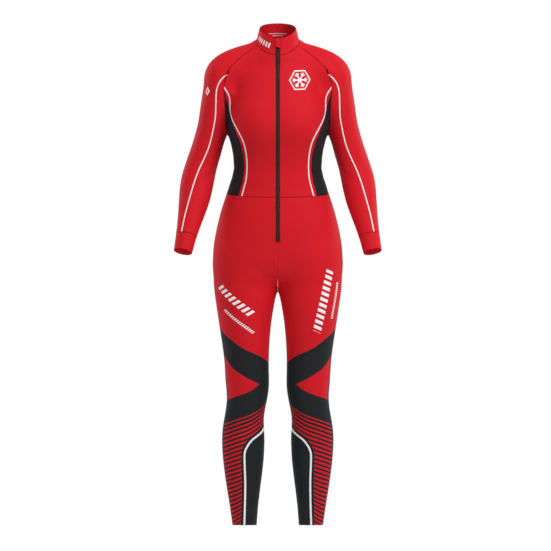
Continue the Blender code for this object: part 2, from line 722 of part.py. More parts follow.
NECK_FRONT = with_ends(across_front(neckline(0, RAGLAN_FRONT_TURN)), last=NECK_CORNER_FRONT)
NECK_SLEEVE = with_ends(evenly(neckline(RAGLAN_FRONT_TURN, RAGLAN_BACK_TURN), SLEEVE_COLUMNS),
                        NECK_CORNER_FRONT, NECK_CORNER_BACK)
NECK_BACK = with_ends(evenly(neckline(RAGLAN_BACK_TURN, 180), BACK_COLUMNS), NECK_CORNER_BACK)
CENTRE_FRONT = with_ends(evenly(down_front(ZIP_HALF, WAIST_Z, NECK_FRONT[0][2]), LOWER_ROWS + UPPER_ROWS),
                         WAIST_FRONT[0], NECK_FRONT[0])
CENTRE_BACK = with_ends(evenly(lambda s: from_back(0.0, WAIST_Z + (NECK_BACK[-1][2] - WAIST_Z) * s),
                               LOWER_ROWS + UPPER_ROWS), WAIST_BACK[-1], NECK_BACK[-1])

# Seams of the legs, from the waist down.
BELOW_UNDERARM = 0.0006     # level rays from inside the body start to touch the sleeve above this
BELOW_CROTCH = 0.003        # and the other leg above this
ZIP_LEG = with_ends(evenly(down_front(ZIP_HALF, WAIST_Z, ZIP_END_Z), ZIP_LEG_ROWS), WAIST_FRONT[0])
CROTCH_FRONT = with_ends(evenly(crotch(90, 0), CROTCH_ROWS, crowd=1.3), CROTCH)[::-1]
SEAT_TOP = with_ends(evenly(lambda s: from_back(0.0, WAIST_Z + (ZIP_END_Z - ZIP_STEP - WAIST_Z) * s),
                            ZIP_LEG_ROWS), WAIST_BACK[-1])
SEAT = with_ends(evenly(crotch(90, 180), SEAT_ROWS, crowd=1.2), CROTCH, SEAT_TOP[-1])[::-1]
INSEAM = with_ends(evenly(level_seam(-1, CROTCH[2] - BELOW_CROTCH, ANKLE_Z), INSEAM_ROWS, crowd=1.3),
                   CROTCH)
HIP_SIDE = with_ends(evenly(level_seam(1, WAIST_Z, CROTCH[2]), ZIP_LEG_ROWS + SEAT_ROWS),
                     WAIST_SIDE_FRONT[-1])
LEG_SIDE = with_ends(evenly(level_seam(1, CROTCH[2], ANKLE_Z), INSEAM_ROWS, crowd=1.15), HIP_SIDE[-1])
OUTSEAM = join(HIP_SIDE, LEG_SIDE)

COLLECTION = bpy.data.collections.new("race_suit")
bpy.context.scene.collection.children.link(COLLECTION)


def bodice_front():
    return patch(WAIST_FRONT, NECK_FRONT, CENTRE_FRONT, join(SIDE_FRONT, RAGLAN_TOP_FRONT))


def bodice_back():
    """One panel across both sides."""
    half = patch(WAIST_BACK, NECK_BACK, join(SIDE_BACK, RAGLAN_TOP_BACK), CENTRE_BACK)
    return np.concatenate((half, mirror_grid(half)[:, 1:]), axis=1)


def side_panel():
    """Two halves that share a line from the waist up to the underarm."""
    def curve(s):
        z = WAIST_Z + (UNDERARM[2] - BELOW_UNDERARM - WAIST_Z) * s
        origins = np.stack((np.zeros_like(s), UNDERARM[1] * s, z), axis=-1)
        return cast(origins, OUT * np.ones_like(origins))
    line = with_ends(evenly(curve, LOWER_ROWS), WAIST_SIDE_FRONT[-1], UNDERARM)
    front = patch(WAIST_SIDE_FRONT, RAGLAN_LOW_FRONT[::-1], SIDE_FRONT, line)
    back = patch(WAIST_SIDE_BACK, RAGLAN_LOW_BACK, line, SIDE_BACK)
    return np.concatenate((front, back[:, 1:]), axis=1)


SLEEVE_LENGTH = np.linalg.norm(np.diff(np.array(SLEEVE)[:, :3], axis=0), axis=1).sum()
YOKE_PLACE = 0.075          # where the last fan of the sleeve's cap starts, beside the neck
CUFF_PLACE = 1 - CUFF_LENGTH / SLEEVE_LENGTH
UNDERARM_PLACE = nearest_on_sleeve(UNDERARM[None])[0]


def sleeve_cap():
    """The part of the sleeve above the underarm, from the front raglan seam over to the back one."""
    front_edge = join(RAGLAN_LOW_FRONT, RAGLAN_TOP_FRONT)
    back_edge = join(RAGLAN_LOW_BACK, RAGLAN_TOP_BACK)
    ring = sleeve_ring(UNDERARM_PLACE)
    ring[0] = UNDERARM
    rows = [np.concatenate((ring, ring[:1]))]
    places = np.linspace(UNDERARM_PLACE, YOKE_PLACE, len(front_edge))
    for place, start, end in list(zip(places, front_edge, back_edge))[1:-1]:
        core, outward, forward, length, _ = sleeve_frame(np.array(place))
        hints = (0.75 * np.pi, -0.75 * np.pi)
        rows.append(fan_row(core, outward, forward, length, start, end, hints, SLEEVE_COLUMNS))
    rows.append(NECK_SLEEVE)
    return relax(np.array(rows), 30)


def tube(first, last, rows):
    """Closed rings round the sleeve from one place on its core to another, from the lowest up."""
    return np.array([sleeve_ring(place) for place in np.linspace(last, first, rows + 1)])


def tube_faces(rings, shift=0):
    count = SLEEVE_COLUMNS
    return [(shift + r * count + c, shift + r * count + (c + 1) % count,
             shift + (r + 1) * count + (c + 1) % count, shift + (r + 1) * count + c)
            for r in range(rings - 1) for c in range(count)]


def add_sleeve(name, cap, low, sign):
    """A sleeve: closed rings up to the underarm, and the open cap above them."""
    count = SLEEVE_COLUMNS
    low = low.copy()
    low[-1] = cap[0, :-1]
    points = np.concatenate((low.reshape(-1, 3), cap[1:].reshape(-1, 3)))
    faces = tube_faces(len(low))
    ring = (len(low) - 1) * count
    start = len(low) * count
    faces += [(ring + c, ring + (c + 1) % count, start + c + 1, start + c) for c in range(count)]
    faces += [tuple(start + i for i in face) for face in quads_of(len(cap) - 1, count + 1)]
    add_side(name, points, faces, sign)


def add_side(name, points, faces, sign):
    """A wall on the wearer's left, or its mirror image on the right."""
    if sign < 0:
        points = points * (-1, 1, 1)
        faces = [face[::-1] for face in faces]
    add_wall(name, points, faces, RED_KNIT)


def add_tube(name, rings, sign):
    add_side(name, rings.reshape(-1, 3), tube_faces(len(rings)), sign)


def collar_half():
    """Rows from the seam up to the rim; the first two columns stay parallel to the zip."""
    seam = join(NECK_FRONT, NECK_SLEEVE, NECK_BACK)
    turns = turn_of(seam, NECK_Y)
    heights = NECK_EDGE_TRACK(turns)
    rows = [seam]
    for level in COLLAR_LEVELS[1:]:
        z = heights[:, 0] + (heights[:, 1] - heights[:, 0]) * level
        row = neck_point(turns, z)
        row[:2] = from_front((ZIP_HALF, GARAGE_HALF), z[:2])
        row[-1, 0] = 0.0
        rows.append(row)
    return np.array(rows)


def add_zip(collar):
    """Two tapes from the end in the legs up to the collar's rim."""
    edge = join(ZIP_LEG[::-1], CENTRE_FRONT, collar[:, 0])
    middle_line = from_front(0.0, edge[:, 2])
    add_pair("zip_tape", np.stack((middle_line, edge), axis=1), ZIP_KNIT)


GARAGE_RISE = (0.0, 0.0021, 0.0026, 0.0021, 0.0)    # across the tab, over the slider
GARAGE_RISE_AT_RIM = 0.4                            # share of it at the collar's rim


def add_garage(collar):
    """The tab over the zip's top, raised in the middle over the slider."""
    levels = collar[GARAGE_ROW:, :2, 2]
    x = np.array((-GARAGE_HALF, -ZIP_HALF, 0.0, ZIP_HALF, GARAGE_EDGE))
    z = np.stack((levels[:, 1], levels[:, 0], levels[:, 0], levels[:, 0], levels[:, 0]), axis=1)
    z[0] = GARAGE_FOOT - GARAGE_SLANT * x
    grid = from_front(np.broadcast_to(x, z.shape), z)
    rise = np.tile(GARAGE_RISE, (len(grid), 1))
    rise[-1] *= GARAGE_RISE_AT_RIM
    lift = (GARAGE_SEAT + WALL + rise).ravel()
    add_wall("zip_garage", grid.reshape(-1, 3), quads_of(*grid.shape[:2]), RED_KNIT, lift)


def add_slider():
    """The slider's body, closed at the top of the zip and covered by the garage."""
    seat = from_front(0.0, SLIDER_Z)
    normal = unit(slope(seat))
    mesh = bpy.data.meshes.new("zip_slider")
    form = bmesh.new()
    bmesh.ops.create_cube(form, size=1.0)
    bmesh.ops.scale(form, vec=SLIDER_SIZE, verts=form.verts)
    bmesh.ops.bevel(form, geom=form.edges[:], offset=SLIDER_BEVEL, segments=1, affect="EDGES", profile=0.5)
    form.to_mesh(mesh)
    form.free()
    slider = add_object("zip_slider", mesh, SLIDER_METAL)
    slider.location = seat + (SEAM_GAP + SLIDER_SIZE[1] / 2) * normal
    slider.rotation_euler = (-np.arctan2(normal[2], -normal[1]), 0, 0)


FRONT_GRID = bodice_front()
SIDE_GRID = side_panel()
COLLAR_GRID = collar_half()
CAP_GRID = sleeve_cap()
SLEEVE_TUBE = tube(UNDERARM_PLACE, CUFF_PLACE, SLEEVE_ROWS)
CUFF_TUBE = tube(CUFF_PLACE, 1.0, CUFF_ROWS)
LEG_FRONT_GRID = leg_panel(join(WAIST_FRONT, WAIST_SIDE_FRONT),
                           np.concatenate((ZIP_LEG, join(CROTCH_FRONT, INSEAM))), OUTSEAM, FRONT, (np.pi, 0))
LEG_BACK_GRID = leg_panel(join(WAIST_SIDE_BACK, WAIST_BACK), OUTSEAM,
                          join(SEAT_TOP, SEAT, INSEAM), -FRONT, (0, np.pi))

add_pair("front", FRONT_GRID, RED_KNIT)
add_grid("back", bodice_back(), RED_KNIT)
add_pair("side", SIDE_GRID, BLACK_KNIT)
# A sleeve is one piece of cloth. Here it is three walls, which meet in rings round the arm.
for sign, side_name in ((1, "left"), (-1, "right")):
    add_sleeve("sleeve_" + side_name, CAP_GRID, SLEEVE_TUBE[ARM_ROW:], sign)
    add_tube("sleeve_upper_" + side_name, SLEEVE_TUBE[ELBOW_ROW:ARM_ROW + 1], sign)
    add_tube("sleeve_lower_" + side_name, SLEEVE_TUBE[:ELBOW_ROW + 1], sign)
    add_tube("cuff_" + side_name, CUFF_TUBE, sign)
add_grid("collar", np.concatenate((COLLAR_GRID, mirror_grid(COLLAR_GRID)[:, 1:]), axis=1), RED_KNIT)
add_zip(COLLAR_GRID)
add_garage(COLLAR_GRID)
add_slider()
add_pair("leg_front", LEG_FRONT_GRID, RED_KNIT)
add_pair("leg_back", LEG_BACK_GRID, BLACK_KNIT)
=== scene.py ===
"""Looks of a biathlon race suit, built round its packed walls.

Every panel of stretch knit takes the place of its wall: a fine, smooth sheet through the wall's corners,
with soft creases, rolled edges and a printed pattern. The zip, the sewing and the studio follow.
Metres, +Z up, the front faces -Y, and the wearer's left is +X.
"""
import math
from collections import namedtuple

import bmesh
import bpy
import numpy as np
from mathutils import Matrix, Vector
from mathutils.bvhtree import BVHTree
from mathutils.kdtree import KDTree


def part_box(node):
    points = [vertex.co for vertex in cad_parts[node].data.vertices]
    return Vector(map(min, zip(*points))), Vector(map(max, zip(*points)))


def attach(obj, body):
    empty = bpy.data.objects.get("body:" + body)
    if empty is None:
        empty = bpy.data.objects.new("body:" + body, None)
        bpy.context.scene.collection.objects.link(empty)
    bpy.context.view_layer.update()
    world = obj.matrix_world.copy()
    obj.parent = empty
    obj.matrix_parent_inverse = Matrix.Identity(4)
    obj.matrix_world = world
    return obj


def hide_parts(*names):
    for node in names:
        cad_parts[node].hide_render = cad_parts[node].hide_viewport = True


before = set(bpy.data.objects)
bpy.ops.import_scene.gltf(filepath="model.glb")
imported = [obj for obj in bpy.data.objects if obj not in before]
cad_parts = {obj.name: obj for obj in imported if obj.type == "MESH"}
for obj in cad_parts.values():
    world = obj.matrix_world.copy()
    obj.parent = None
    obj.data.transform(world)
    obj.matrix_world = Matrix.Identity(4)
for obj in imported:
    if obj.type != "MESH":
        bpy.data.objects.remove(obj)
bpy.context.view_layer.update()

# ---------------------------------------------------------------- the bodice's front halves
# Each half is cut from red stretch knit: centre front to side panel, collar seam to waist seam. Its edges
# roll in a little at the flat seams, and a white line is printed beside the side panel.
WELD = 0.00002                  # a wall's loose corners closer than this are one point
WALL_EDGE = 0.0016              # only a wall's rim has edges this short
WALL_GAP = 0.0006               # two walls of one piece of cloth lie closer than this
FINENESS = 3                    # subdivisions between two corners of a wall
CAGE_ROUNDS = 3                 # times the cage is moved until its smooth sheet passes through the corners
KNIT = 0.0009                   # thickness of one layer
EDGE_ROLL, EDGE_DIP = 0.0014, 0.0006
EDGE_REACH = 0.0002             # closes the gap to the next panel
PLAIN_SEAM_HALF = 0.003         # only the middle seam lies nearer than this, and its edges get no painted seam shade

RED = (0.680, 0.0095, 0.0190, 1)
BLACK = (0.0165, 0.0185, 0.0200, 1)
WHITE = (0.950, 0.955, 0.960, 1)


def island(face):
    """All the faces that hang together with one face."""
    found, waiting = {face}, [face]
    while waiting:
        for edge in waiting.pop().edges:
            for neighbour in edge.link_faces:
                if neighbour not in found:
                    found.add(neighbour)
                    waiting.append(neighbour)
    return found


def outer_face(node):
    """The outer face of one wall as a sheet of quads."""
    sheet = bmesh.new()
    sheet.from_mesh(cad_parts[node].data)
    bmesh.ops.remove_doubles(sheet, verts=sheet.verts, dist=WELD)
    rim = [face for face in sheet.faces if min(edge.calc_length() for edge in face.edges) < WALL_EDGE]
    bmesh.ops.delete(sheet, geom=rim, context="FACES")
    sheet.faces.ensure_lookup_table()
    one = island(sheet.faces[0])
    inner = min(one, set(sheet.faces) - one, key=lambda faces: sum(
        face.calc_area() * face.normal.dot(face.calc_center_median()) for face in faces))
    bmesh.ops.delete(sheet, geom=list(inner), context="FACES")
    bmesh.ops.join_triangles(sheet, faces=sheet.faces[:], angle_face_threshold=math.pi,
                             angle_shape_threshold=math.pi)
    face_mesh = bpy.data.meshes.new(node + "_face")
    sheet.to_mesh(face_mesh)
    sheet.free()
    return face_mesh


def outer_sheet(nodes):
    """The outer faces of one piece of cloth, whose walls meet edge to edge, as one sheet."""
    sheet = bmesh.new()
    for node in nodes:
        face_mesh = outer_face(node)
        sheet.from_mesh(face_mesh)
        bpy.data.meshes.remove(face_mesh)
    if len(nodes) > 1:
        edge = [vert for vert in sheet.verts if vert.is_boundary]
        bmesh.ops.remove_doubles(sheet, verts=edge, dist=WALL_GAP)
    return sheet


def read_points(mesh):
    """The mesh's points as rows of x, y, z."""
    points = np.empty(len(mesh.vertices) * 3, np.float32)
    mesh.vertices.foreach_get("co", points)
    return points.reshape(-1, 3).astype(float)


def write_points(mesh, points):
    """Move the mesh's points to these places."""
    mesh.vertices.foreach_set("co", points.astype(np.float32).ravel())
    mesh.update()


def read_normals(mesh):
    """The mesh's normal at each point."""
    normals = np.empty(len(mesh.vertices) * 3, np.float32)
    mesh.vertex_normals.foreach_get("vector", normals)
    return normals.reshape(-1, 3).astype(float)


def evaluated_mesh(piece):
    """A new mesh of the piece with its modifiers applied."""
    return bpy.data.meshes.new_from_object(piece.evaluated_get(bpy.context.evaluated_depsgraph_get()))


def add_piece(name, mesh):
    """A new object at the origin, in the scene."""
    piece = bpy.data.objects.new(name, mesh)
    bpy.context.scene.collection.objects.link(piece)
    return piece


def smooth_panel(*nodes, fineness=FINENESS):
    """A piece's knit as a fine sheet that passes through the corners of its walls."""
    sheet = outer_sheet(nodes)
    cage = bpy.data.meshes.new(nodes[0] + "_cage")
    sheet.to_mesh(cage)
    sheet.free()
    panel = add_piece(nodes[0] + "_knit", cage)
    smooth = panel.modifiers.new("smooth", "SUBSURF")
    smooth.levels = smooth.render_levels = fineness
    smooth.boundary_smooth = "PRESERVE_CORNERS"
    corners = read_points(cage)
    for _ in range(CAGE_ROUNDS):
        fine = evaluated_mesh(panel)
        write_points(cage, read_points(cage) + corners - read_points(fine)[:len(corners)])
        bpy.data.meshes.remove(fine)
    fine = evaluated_mesh(panel)
    panel.modifiers.remove(smooth)
    panel.data = fine
    bpy.data.meshes.remove(cage)
    return panel


def store(panel, name, values):
    """A number at every point of the panel, for its material to read."""
    layer = panel.data.attributes.new(name, "FLOAT", "POINT")
    layer.data.foreach_set("value", np.asarray(values, np.float32))


def roll_edges(panel):
    """A narrow strip round the panel whose outer edge dips, as a flat seam or a turned hem pulls it in. Its
    edge points are kept for the painted shade in the seams.
    """
    form = bmesh.new()
    form.from_mesh(panel.data)
    bmesh.ops.inset_region(form, faces=form.faces[:], thickness=EDGE_ROLL, use_boundary=True,
                           use_even_offset=True)
    form.normal_update()
    for vert in form.verts:
        if vert.is_boundary:
            across = [edge.other_vert(vert) for edge in vert.link_edges if not edge.is_boundary]
            outward = sum((vert.co - other.co for other in across), Vector()).normalized()
            vert.co += EDGE_REACH * outward - EDGE_DIP * vert.normal
    form.to_mesh(panel.data)
    # Painted shade: the seam's edge points, where the knit's colour is darkened as if shaded down in the
    # seam.
    store(panel, "rim", [vert.is_boundary and abs(vert.co.x) > PLAIN_SEAM_HALF for vert in form.verts])
    form.free()


# A crease lies between two points and bows sideways at its middle, seen from the side it faces.
Crease = namedtuple("Crease", "start end facing bow depth width")
FRONT, BACK, LEFT = Vector((0, -1, 0)), Vector((0, 1, 0)), Vector((1, 0, 0))
RIDGE_HEIGHT, RIDGE_PLACE, RIDGE_WIDTH = 0.35, 1.8, 0.8     # shares of the trough's depth and width
SEEN_GROWTH = 2.5               # how soon a crease fades where the cloth turns away


def crease_height(points, normals, crease, mirror):
    """How far one crease moves each point along its normal: a soft trough with low ridges beside it."""
    flip = np.array((-1 if mirror else 1, 1, 1))
    facing = np.array(crease.facing) * flip
    start, end = np.array(crease.start) * flip, np.array(crease.end) * flip
    run = end - start
    run -= (run @ facing) * facing
    offset = points - start
    offset -= (offset @ facing)[:, None] * facing
    place = np.clip(offset @ run / (run @ run), 0, 1)
    taper = 4 * place * (1 - place)
    across = np.cross(run / np.linalg.norm(run), facing) * (-1 if mirror else 1)
    gap = offset - place[:, None] * run - (crease.bow * taper)[:, None] * across
    gap = np.linalg.norm(gap, axis=1) / crease.width
    profile = -np.exp(-gap ** 2) + RIDGE_HEIGHT * np.exp(-((gap - RIDGE_PLACE) / RIDGE_WIDTH) ** 2)
    seen = np.clip(normals @ facing * SEEN_GROWTH, 0, 1)
    return crease.depth * taper * seen * profile


def press_creases(panel, creases, right_share=0.8):
    """Creases on the wearer's left, and lighter ones on the right."""
    points, normals = read_points(panel.data), read_normals(panel.data)
    height = sum(crease_height(points, normals, crease, False) * (points[:, 0] > 0)
                 + right_share * crease_height(points, normals, crease, True) * (points[:, 0] < 0)
                 for crease in creases)
    write_points(panel.data, points + height[:, None] * normals)


def lay_grain(panel, low, high, girth, facing):
    """A UV map in metres: round the core from low to high, from the side it faces, and up along it."""
    low, axis = np.array(low), np.array(high) - np.array(low)
    axis /= np.linalg.norm(axis)
    ahead = np.array(facing) - (np.array(facing) @ axis) * axis
    ahead /= np.linalg.norm(ahead)
    side = np.cross(axis, ahead)
    offset = read_points(panel.data) - low
    turn = np.arctan2(offset @ side, offset @ ahead)
    corner_point = np.empty(len(panel.data.loops), np.int32)
    panel.data.loops.foreach_get("vertex_index", corner_point)
    first = np.empty(len(panel.data.polygons), np.int32)
    count = np.empty(len(panel.data.polygons), np.int32)
    panel.data.polygons.foreach_get("loop_start", first)
    panel.data.polygons.foreach_get("loop_total", count)
    anchor = np.repeat(turn[corner_point[first]], count)
    step = turn[corner_point] - anchor
    around = anchor + (step + np.pi) % (2 * np.pi) - np.pi
    grain = np.stack((around * girth / (2 * np.pi), (offset @ axis)[corner_point]), axis=1)
    layer = panel.data.uv_layers.new(name="grain")
    layer.data.foreach_set("uv", grain.astype(np.float32).ravel())


def give_body(panel, thickness=KNIT):
    """The sheet's second face, inside the first."""
    panel.data.shade_smooth()
    wall = panel.modifiers.new("layer", "SOLIDIFY")
    wall.thickness = thickness
    wall.offset = -1
    wall.use_rim = True
    return wall


def as_cloth(panel, nodes):
    """The panel stands for its walls, as a piece of cloth of this cut."""
    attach(panel, "root")
    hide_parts(*nodes)
    return panel


def socket_of(tree, value, socket):
    """Feed a socket with a number or with another node's output."""
    if isinstance(value, bpy.types.NodeSocket):
        tree.links.new(value, socket)
    else:
        socket.default_value = value


def math_node(tree, operation, *values):
    """The output of a Math node fed with numbers or outputs."""
    node = tree.nodes.new("ShaderNodeMath")
    node.operation = operation
    for value, socket in zip(values, node.inputs):
        socket_of(tree, value, socket)
    return node.outputs[0]


def both(tree, *masks):
    """Where all the masks hold."""
    result = masks[0]
    for mask in masks[1:]:
        result = math_node(tree, "MULTIPLY", result, mask)
    return result


def colour_mix(tree, share, ground, print_colour):
    """The ground colour with the print's colour where the share is one."""
    node = tree.nodes.new("ShaderNodeMix")
    node.data_type = "RGBA"
    socket_of(tree, share, node.inputs["Factor"])
    socket_of(tree, ground, node.inputs["A"])
    socket_of(tree, print_colour, node.inputs["B"])
    return node.outputs["Result"]


def stored(tree, name):
    """A number that was stored at the panel's points."""
    node = tree.nodes.new("ShaderNodeAttribute")
    node.attribute_name = name
    return node.outputs["Fac"]


def group_node(tree, group, **values):
    """A shared effect, placed with its own values."""
    node = tree.nodes.new("ShaderNodeGroup")
    node.node_tree = group
    for name, value in values.items():
        socket_of(tree, value, node.inputs[name.replace("_", " ")])
    return node


def new_group(name, inputs, outputs):
    """An empty node group with named sockets, and the nodes that hold them."""
    group = bpy.data.node_groups.new(name, "ShaderNodeTree")
    for direction, sockets in (("INPUT", inputs), ("OUTPUT", outputs)):
        for label, kind in sockets.items():
            group.interface.new_socket(name=label, in_out=direction, socket_type="NodeSocket" + kind)
    return group, group.nodes.new("NodeGroupInput").outputs, group.nodes.new("NodeGroupOutput").inputs


COURSE_HEIGHT = 0.35            # of a wale's height
CLOUD_SCALE = 26.0
TONE_SPREAD, GLOSS, GLOSS_SPREAD = 0.08, 0.62, 0.12
PAINTED_SEAM_SHADE = 0.50                # painted shade in a seam's valley, with a little of the seam's own darker look: how much darker the cloth is painted there
KNIT_PITCH = 0.0006
KNIT_RELIEF = 0.00006


def make_knit_group():
    """Fine jersey: wales and courses as bump, a faint unevenness of colour and gloss, and painted shade along
    the seams.
    """
    group, given, result = new_group(
        "stretch_knit", {"Color": "Color", "Pitch": "Float", "Relief": "Float"},
        {"Color": "Color", "Roughness": "Float", "Normal": "Vector"})
    grain = group.nodes.new("ShaderNodeUVMap")
    grain.uv_map = "grain"
    split = group.nodes.new("ShaderNodeSeparateXYZ")
    group.links.new(grain.outputs["UV"], split.inputs["Vector"])
    across = math_node(group, "DIVIDE", split.outputs["X"], given["Pitch"])
    along = math_node(group, "DIVIDE", split.outputs["Y"], given["Pitch"])
    wale = math_node(group, "PINGPONG", across, 0.5)
    course = math_node(group, "SINE", math_node(
        group, "MULTIPLY", math_node(group, "ADD", along, wale), 2 * math.pi))
    height = math_node(group, "ADD", math_node(group, "MULTIPLY", wale, 2.0),
                       math_node(group, "MULTIPLY", course, COURSE_HEIGHT))
    bump = group.nodes.new("ShaderNodeBump")
    bump.inputs["Strength"].default_value = 0.6
    group.links.new(given["Relief"], bump.inputs["Distance"])
    group.links.new(height, bump.inputs["Height"])
    place = group.nodes.new("ShaderNodeTexCoord")
    cloud = group.nodes.new("ShaderNodeTexNoise")
    cloud.inputs["Scale"].default_value = CLOUD_SCALE
    cloud.inputs["Detail"].default_value = 4.0
    group.links.new(place.outputs["Object"], cloud.inputs["Vector"])
    tone = math_node(group, "MULTIPLY_ADD", cloud.outputs["Fac"], TONE_SPREAD, 1 - TONE_SPREAD / 2)
    # Painted shade: the colour darkens towards the seam edges.
    tone = math_node(group, "MULTIPLY", tone, math_node(
        group, "MULTIPLY_ADD", stored(group, "rim"), -PAINTED_SEAM_SHADE, 1.0))
    shade = group.nodes.new("ShaderNodeVectorMath")
    shade.operation = "SCALE"
    group.links.new(given["Color"], shade.inputs[0])
    group.links.new(tone, shade.inputs["Scale"])
    group.links.new(shade.outputs[0], result["Color"])
    gloss = math_node(group, "MULTIPLY_ADD", cloud.outputs["Fac"], GLOSS_SPREAD, GLOSS - GLOSS_SPREAD / 2)
    group.links.new(gloss, result["Roughness"])
    group.links.new(bump.outputs["Normal"], result["Normal"])
    return group


KNIT_GROUP = make_knit_group()


def knit_material(name, paint=None, ground=RED, sheen=(1.0, 0.34, 0.32, 1)):
    """Stretch knit with a soft sheen; paint adds the panel's print to its ground colour."""
    material = bpy.data.materials.new(name)
    material.use_nodes = True
    tree = material.node_tree
    shader = tree.nodes["Principled BSDF"]
    colour = paint(tree, ground) if paint else ground
    knit = group_node(tree, KNIT_GROUP, Color=colour, Pitch=KNIT_PITCH, Relief=KNIT_RELIEF)
    for label in ("Roughness", "Normal"):
        tree.links.new(knit.outputs[label], shader.inputs[label])
    tree.links.new(knit.outputs["Color"], shader.inputs["Base Color"])
    shader.inputs["Specular IOR Level"].default_value = 0.12
    shader.inputs["Sheen Weight"].default_value = 0.03
    shader.inputs["Sheen Roughness"].default_value = 0.35
    shader.inputs["Sheen Tint"].default_value = sheen
    return material


# A printed line runs through a few places of the front view: x from the middle, and how far up they show.
LinePoint = namedtuple("LinePoint", "x up")
VIEW_TILT = math.radians(7)     # the view from which the lines' places are given looks down by this angle
SIDE_Y = 0.012                  # the sides' depth, where front and back mirror each other
TORSO_LINE = (
    LinePoint(0.1560, -0.112), LinePoint(0.1506, -0.1187), LinePoint(0.1393, -0.1368),
    LinePoint(0.1348, -0.1548), LinePoint(0.1342, -0.1861), LinePoint(0.1280, -0.2087),
    LinePoint(0.1145, -0.2358), LinePoint(0.0987, -0.2671), LinePoint(0.0908, -0.2941),
    LinePoint(0.0871, -0.3212), LinePoint(0.0866, -0.3480), LinePoint(0.0888, -0.3751),
    LinePoint(0.0942, -0.3976), LinePoint(0.1015, -0.4240), LinePoint(0.1060, -0.4400),
)
TORSO_LINE_WIDTH = 0.0031


def front_view(points):
    """Where each point shows from the front, with the back folded over the sides onto the front."""
    depth = -np.abs(points[:, 1] - SIDE_Y) + SIDE_Y
    up = points[:, 2] * math.cos(VIEW_TILT) + depth * math.sin(VIEW_TILT)
    return np.stack((np.abs(points[:, 0]), up), axis=1)


def smooth_line(rows, steps=12):
    """A curve through the rows of a table, as many short runs."""
    rows = np.array(rows)
    ends = np.concatenate((2 * rows[:1] - rows[1:2], rows, 2 * rows[-1:] - rows[-2:-1]))
    s = np.linspace(0, 1, steps, endpoint=False)[:, None]
    runs = [b + ((c - a) * s + (2 * a - 5 * b + 4 * c - d) * s ** 2 + (3 * b - a - 3 * c + d) * s ** 3) / 2
            for a, b, c, d in zip(ends, ends[1:], ends[2:], ends[3:])]
    return np.concatenate(runs + [rows[-1:]])


def side_of_line(places, rows):
    """Distance of each place from a line, with a minus sign on its left."""
    line = smooth_line(rows)
    nearest = np.full(len(places), 1e9)
    signed = np.zeros(len(places))
    for start, end in zip(line, line[1:]):
        run = end - start
        offset = places - start
        share = np.clip(offset @ run / (run @ run), 0, 1)
        gap = offset - share[:, None] * run
        distance = np.hypot(gap[:, 0], gap[:, 1])
        turn = run[0] * offset[:, 1] - run[1] * offset[:, 0]
        closer = distance < nearest
        nearest = np.where(closer, distance, nearest)
        signed = np.where(closer, np.where(turn > 0, -distance, distance), signed)
    return signed


def on_line(tree, name, width):
    """Where a stored distance says that a printed line of this width lies."""
    return math_node(tree, "LESS_THAN", math_node(tree, "ABSOLUTE", stored(tree, name)), width / 2)


# The chest badge is a plain hexagon with a six-armed star, printed in white.
BADGE_X, BADGE_Z = 0.0618, -0.0895
BADGE_REACH = 0.0262            # centre to the middle of a side
BADGE_RING, BADGE_ARM = 0.0030, 0.0019
ARM_REACH, FORK_PLACE, FORK_REACH = 0.80, 0.46, 0.22    # shares of the badge's reach


def make_badge_group():
    """The badge's white parts, round the place where its vector is zero."""
    group, given, result = new_group(
        "hexagon_star", {"Vector": "Vector", "Reach": "Float", "Ring": "Float", "Arm": "Float"},
        {"Mask": "Float"})
    split = group.nodes.new("ShaderNodeSeparateXYZ")
    group.links.new(given["Vector"], split.inputs["Vector"])
    x, z = split.outputs["Z"], split.outputs["X"]
    reach = math_node(group, "SQRT", math_node(group, "ADD", math_node(group, "MULTIPLY", x, x),
                                               math_node(group, "MULTIPLY", z, z)))
    turn = math_node(group, "PINGPONG", math_node(group, "ARCTAN2", z, x), math.pi / 6)
    side = math_node(group, "MULTIPLY", reach, math_node(group, "COSINE", turn))
    arm_turn = math_node(group, "SUBTRACT", math.pi / 6, turn)
    off_arm = math_node(group, "MULTIPLY", reach, math_node(group, "SINE", arm_turn))
    along_arm = math_node(group, "MULTIPLY", reach, math_node(group, "COSINE", arm_turn))
    inside = math_node(group, "LESS_THAN", side, given["Reach"])
    ring_inside = math_node(group, "SUBTRACT", given["Reach"], given["Ring"])
    beyond = math_node(group, "GREATER_THAN", side, ring_inside)
    short = math_node(group, "LESS_THAN", along_arm, math_node(group, "MULTIPLY", given["Reach"], ARM_REACH))
    arm = both(group, math_node(group, "LESS_THAN", off_arm, given["Arm"]), short)
    fork_line = math_node(group, "ABSOLUTE", math_node(
        group, "SUBTRACT", math_node(group, "SUBTRACT", along_arm, off_arm),
        math_node(group, "MULTIPLY", given["Reach"], FORK_PLACE)))
    fork_end = math_node(group, "MULTIPLY", given["Reach"], FORK_REACH)
    fork = both(group, math_node(group, "LESS_THAN", fork_line, given["Arm"]),
                math_node(group, "LESS_THAN", off_arm, fork_end))
    star = math_node(group, "MAXIMUM", arm, fork)
    group.links.new(math_node(group, "MAXIMUM", both(group, inside, beyond), star), result["Mask"])
    return group


BADGE_GROUP = make_badge_group()


def placed(tree, source, centre, turn=0.0):
    """Coordinates measured from a centre and turned."""
    mapping = tree.nodes.new("ShaderNodeMapping")
    mapping.vector_type = "TEXTURE"
    mapping.inputs["Location"].default_value = centre
    mapping.inputs["Rotation"].default_value = (0, 0, turn)
    tree.links.new(source, mapping.inputs["Vector"])
    return mapping.outputs["Vector"]


def object_place(tree):
    """Object coordinates."""
    return tree.nodes.new("ShaderNodeTexCoord").outputs["Object"]


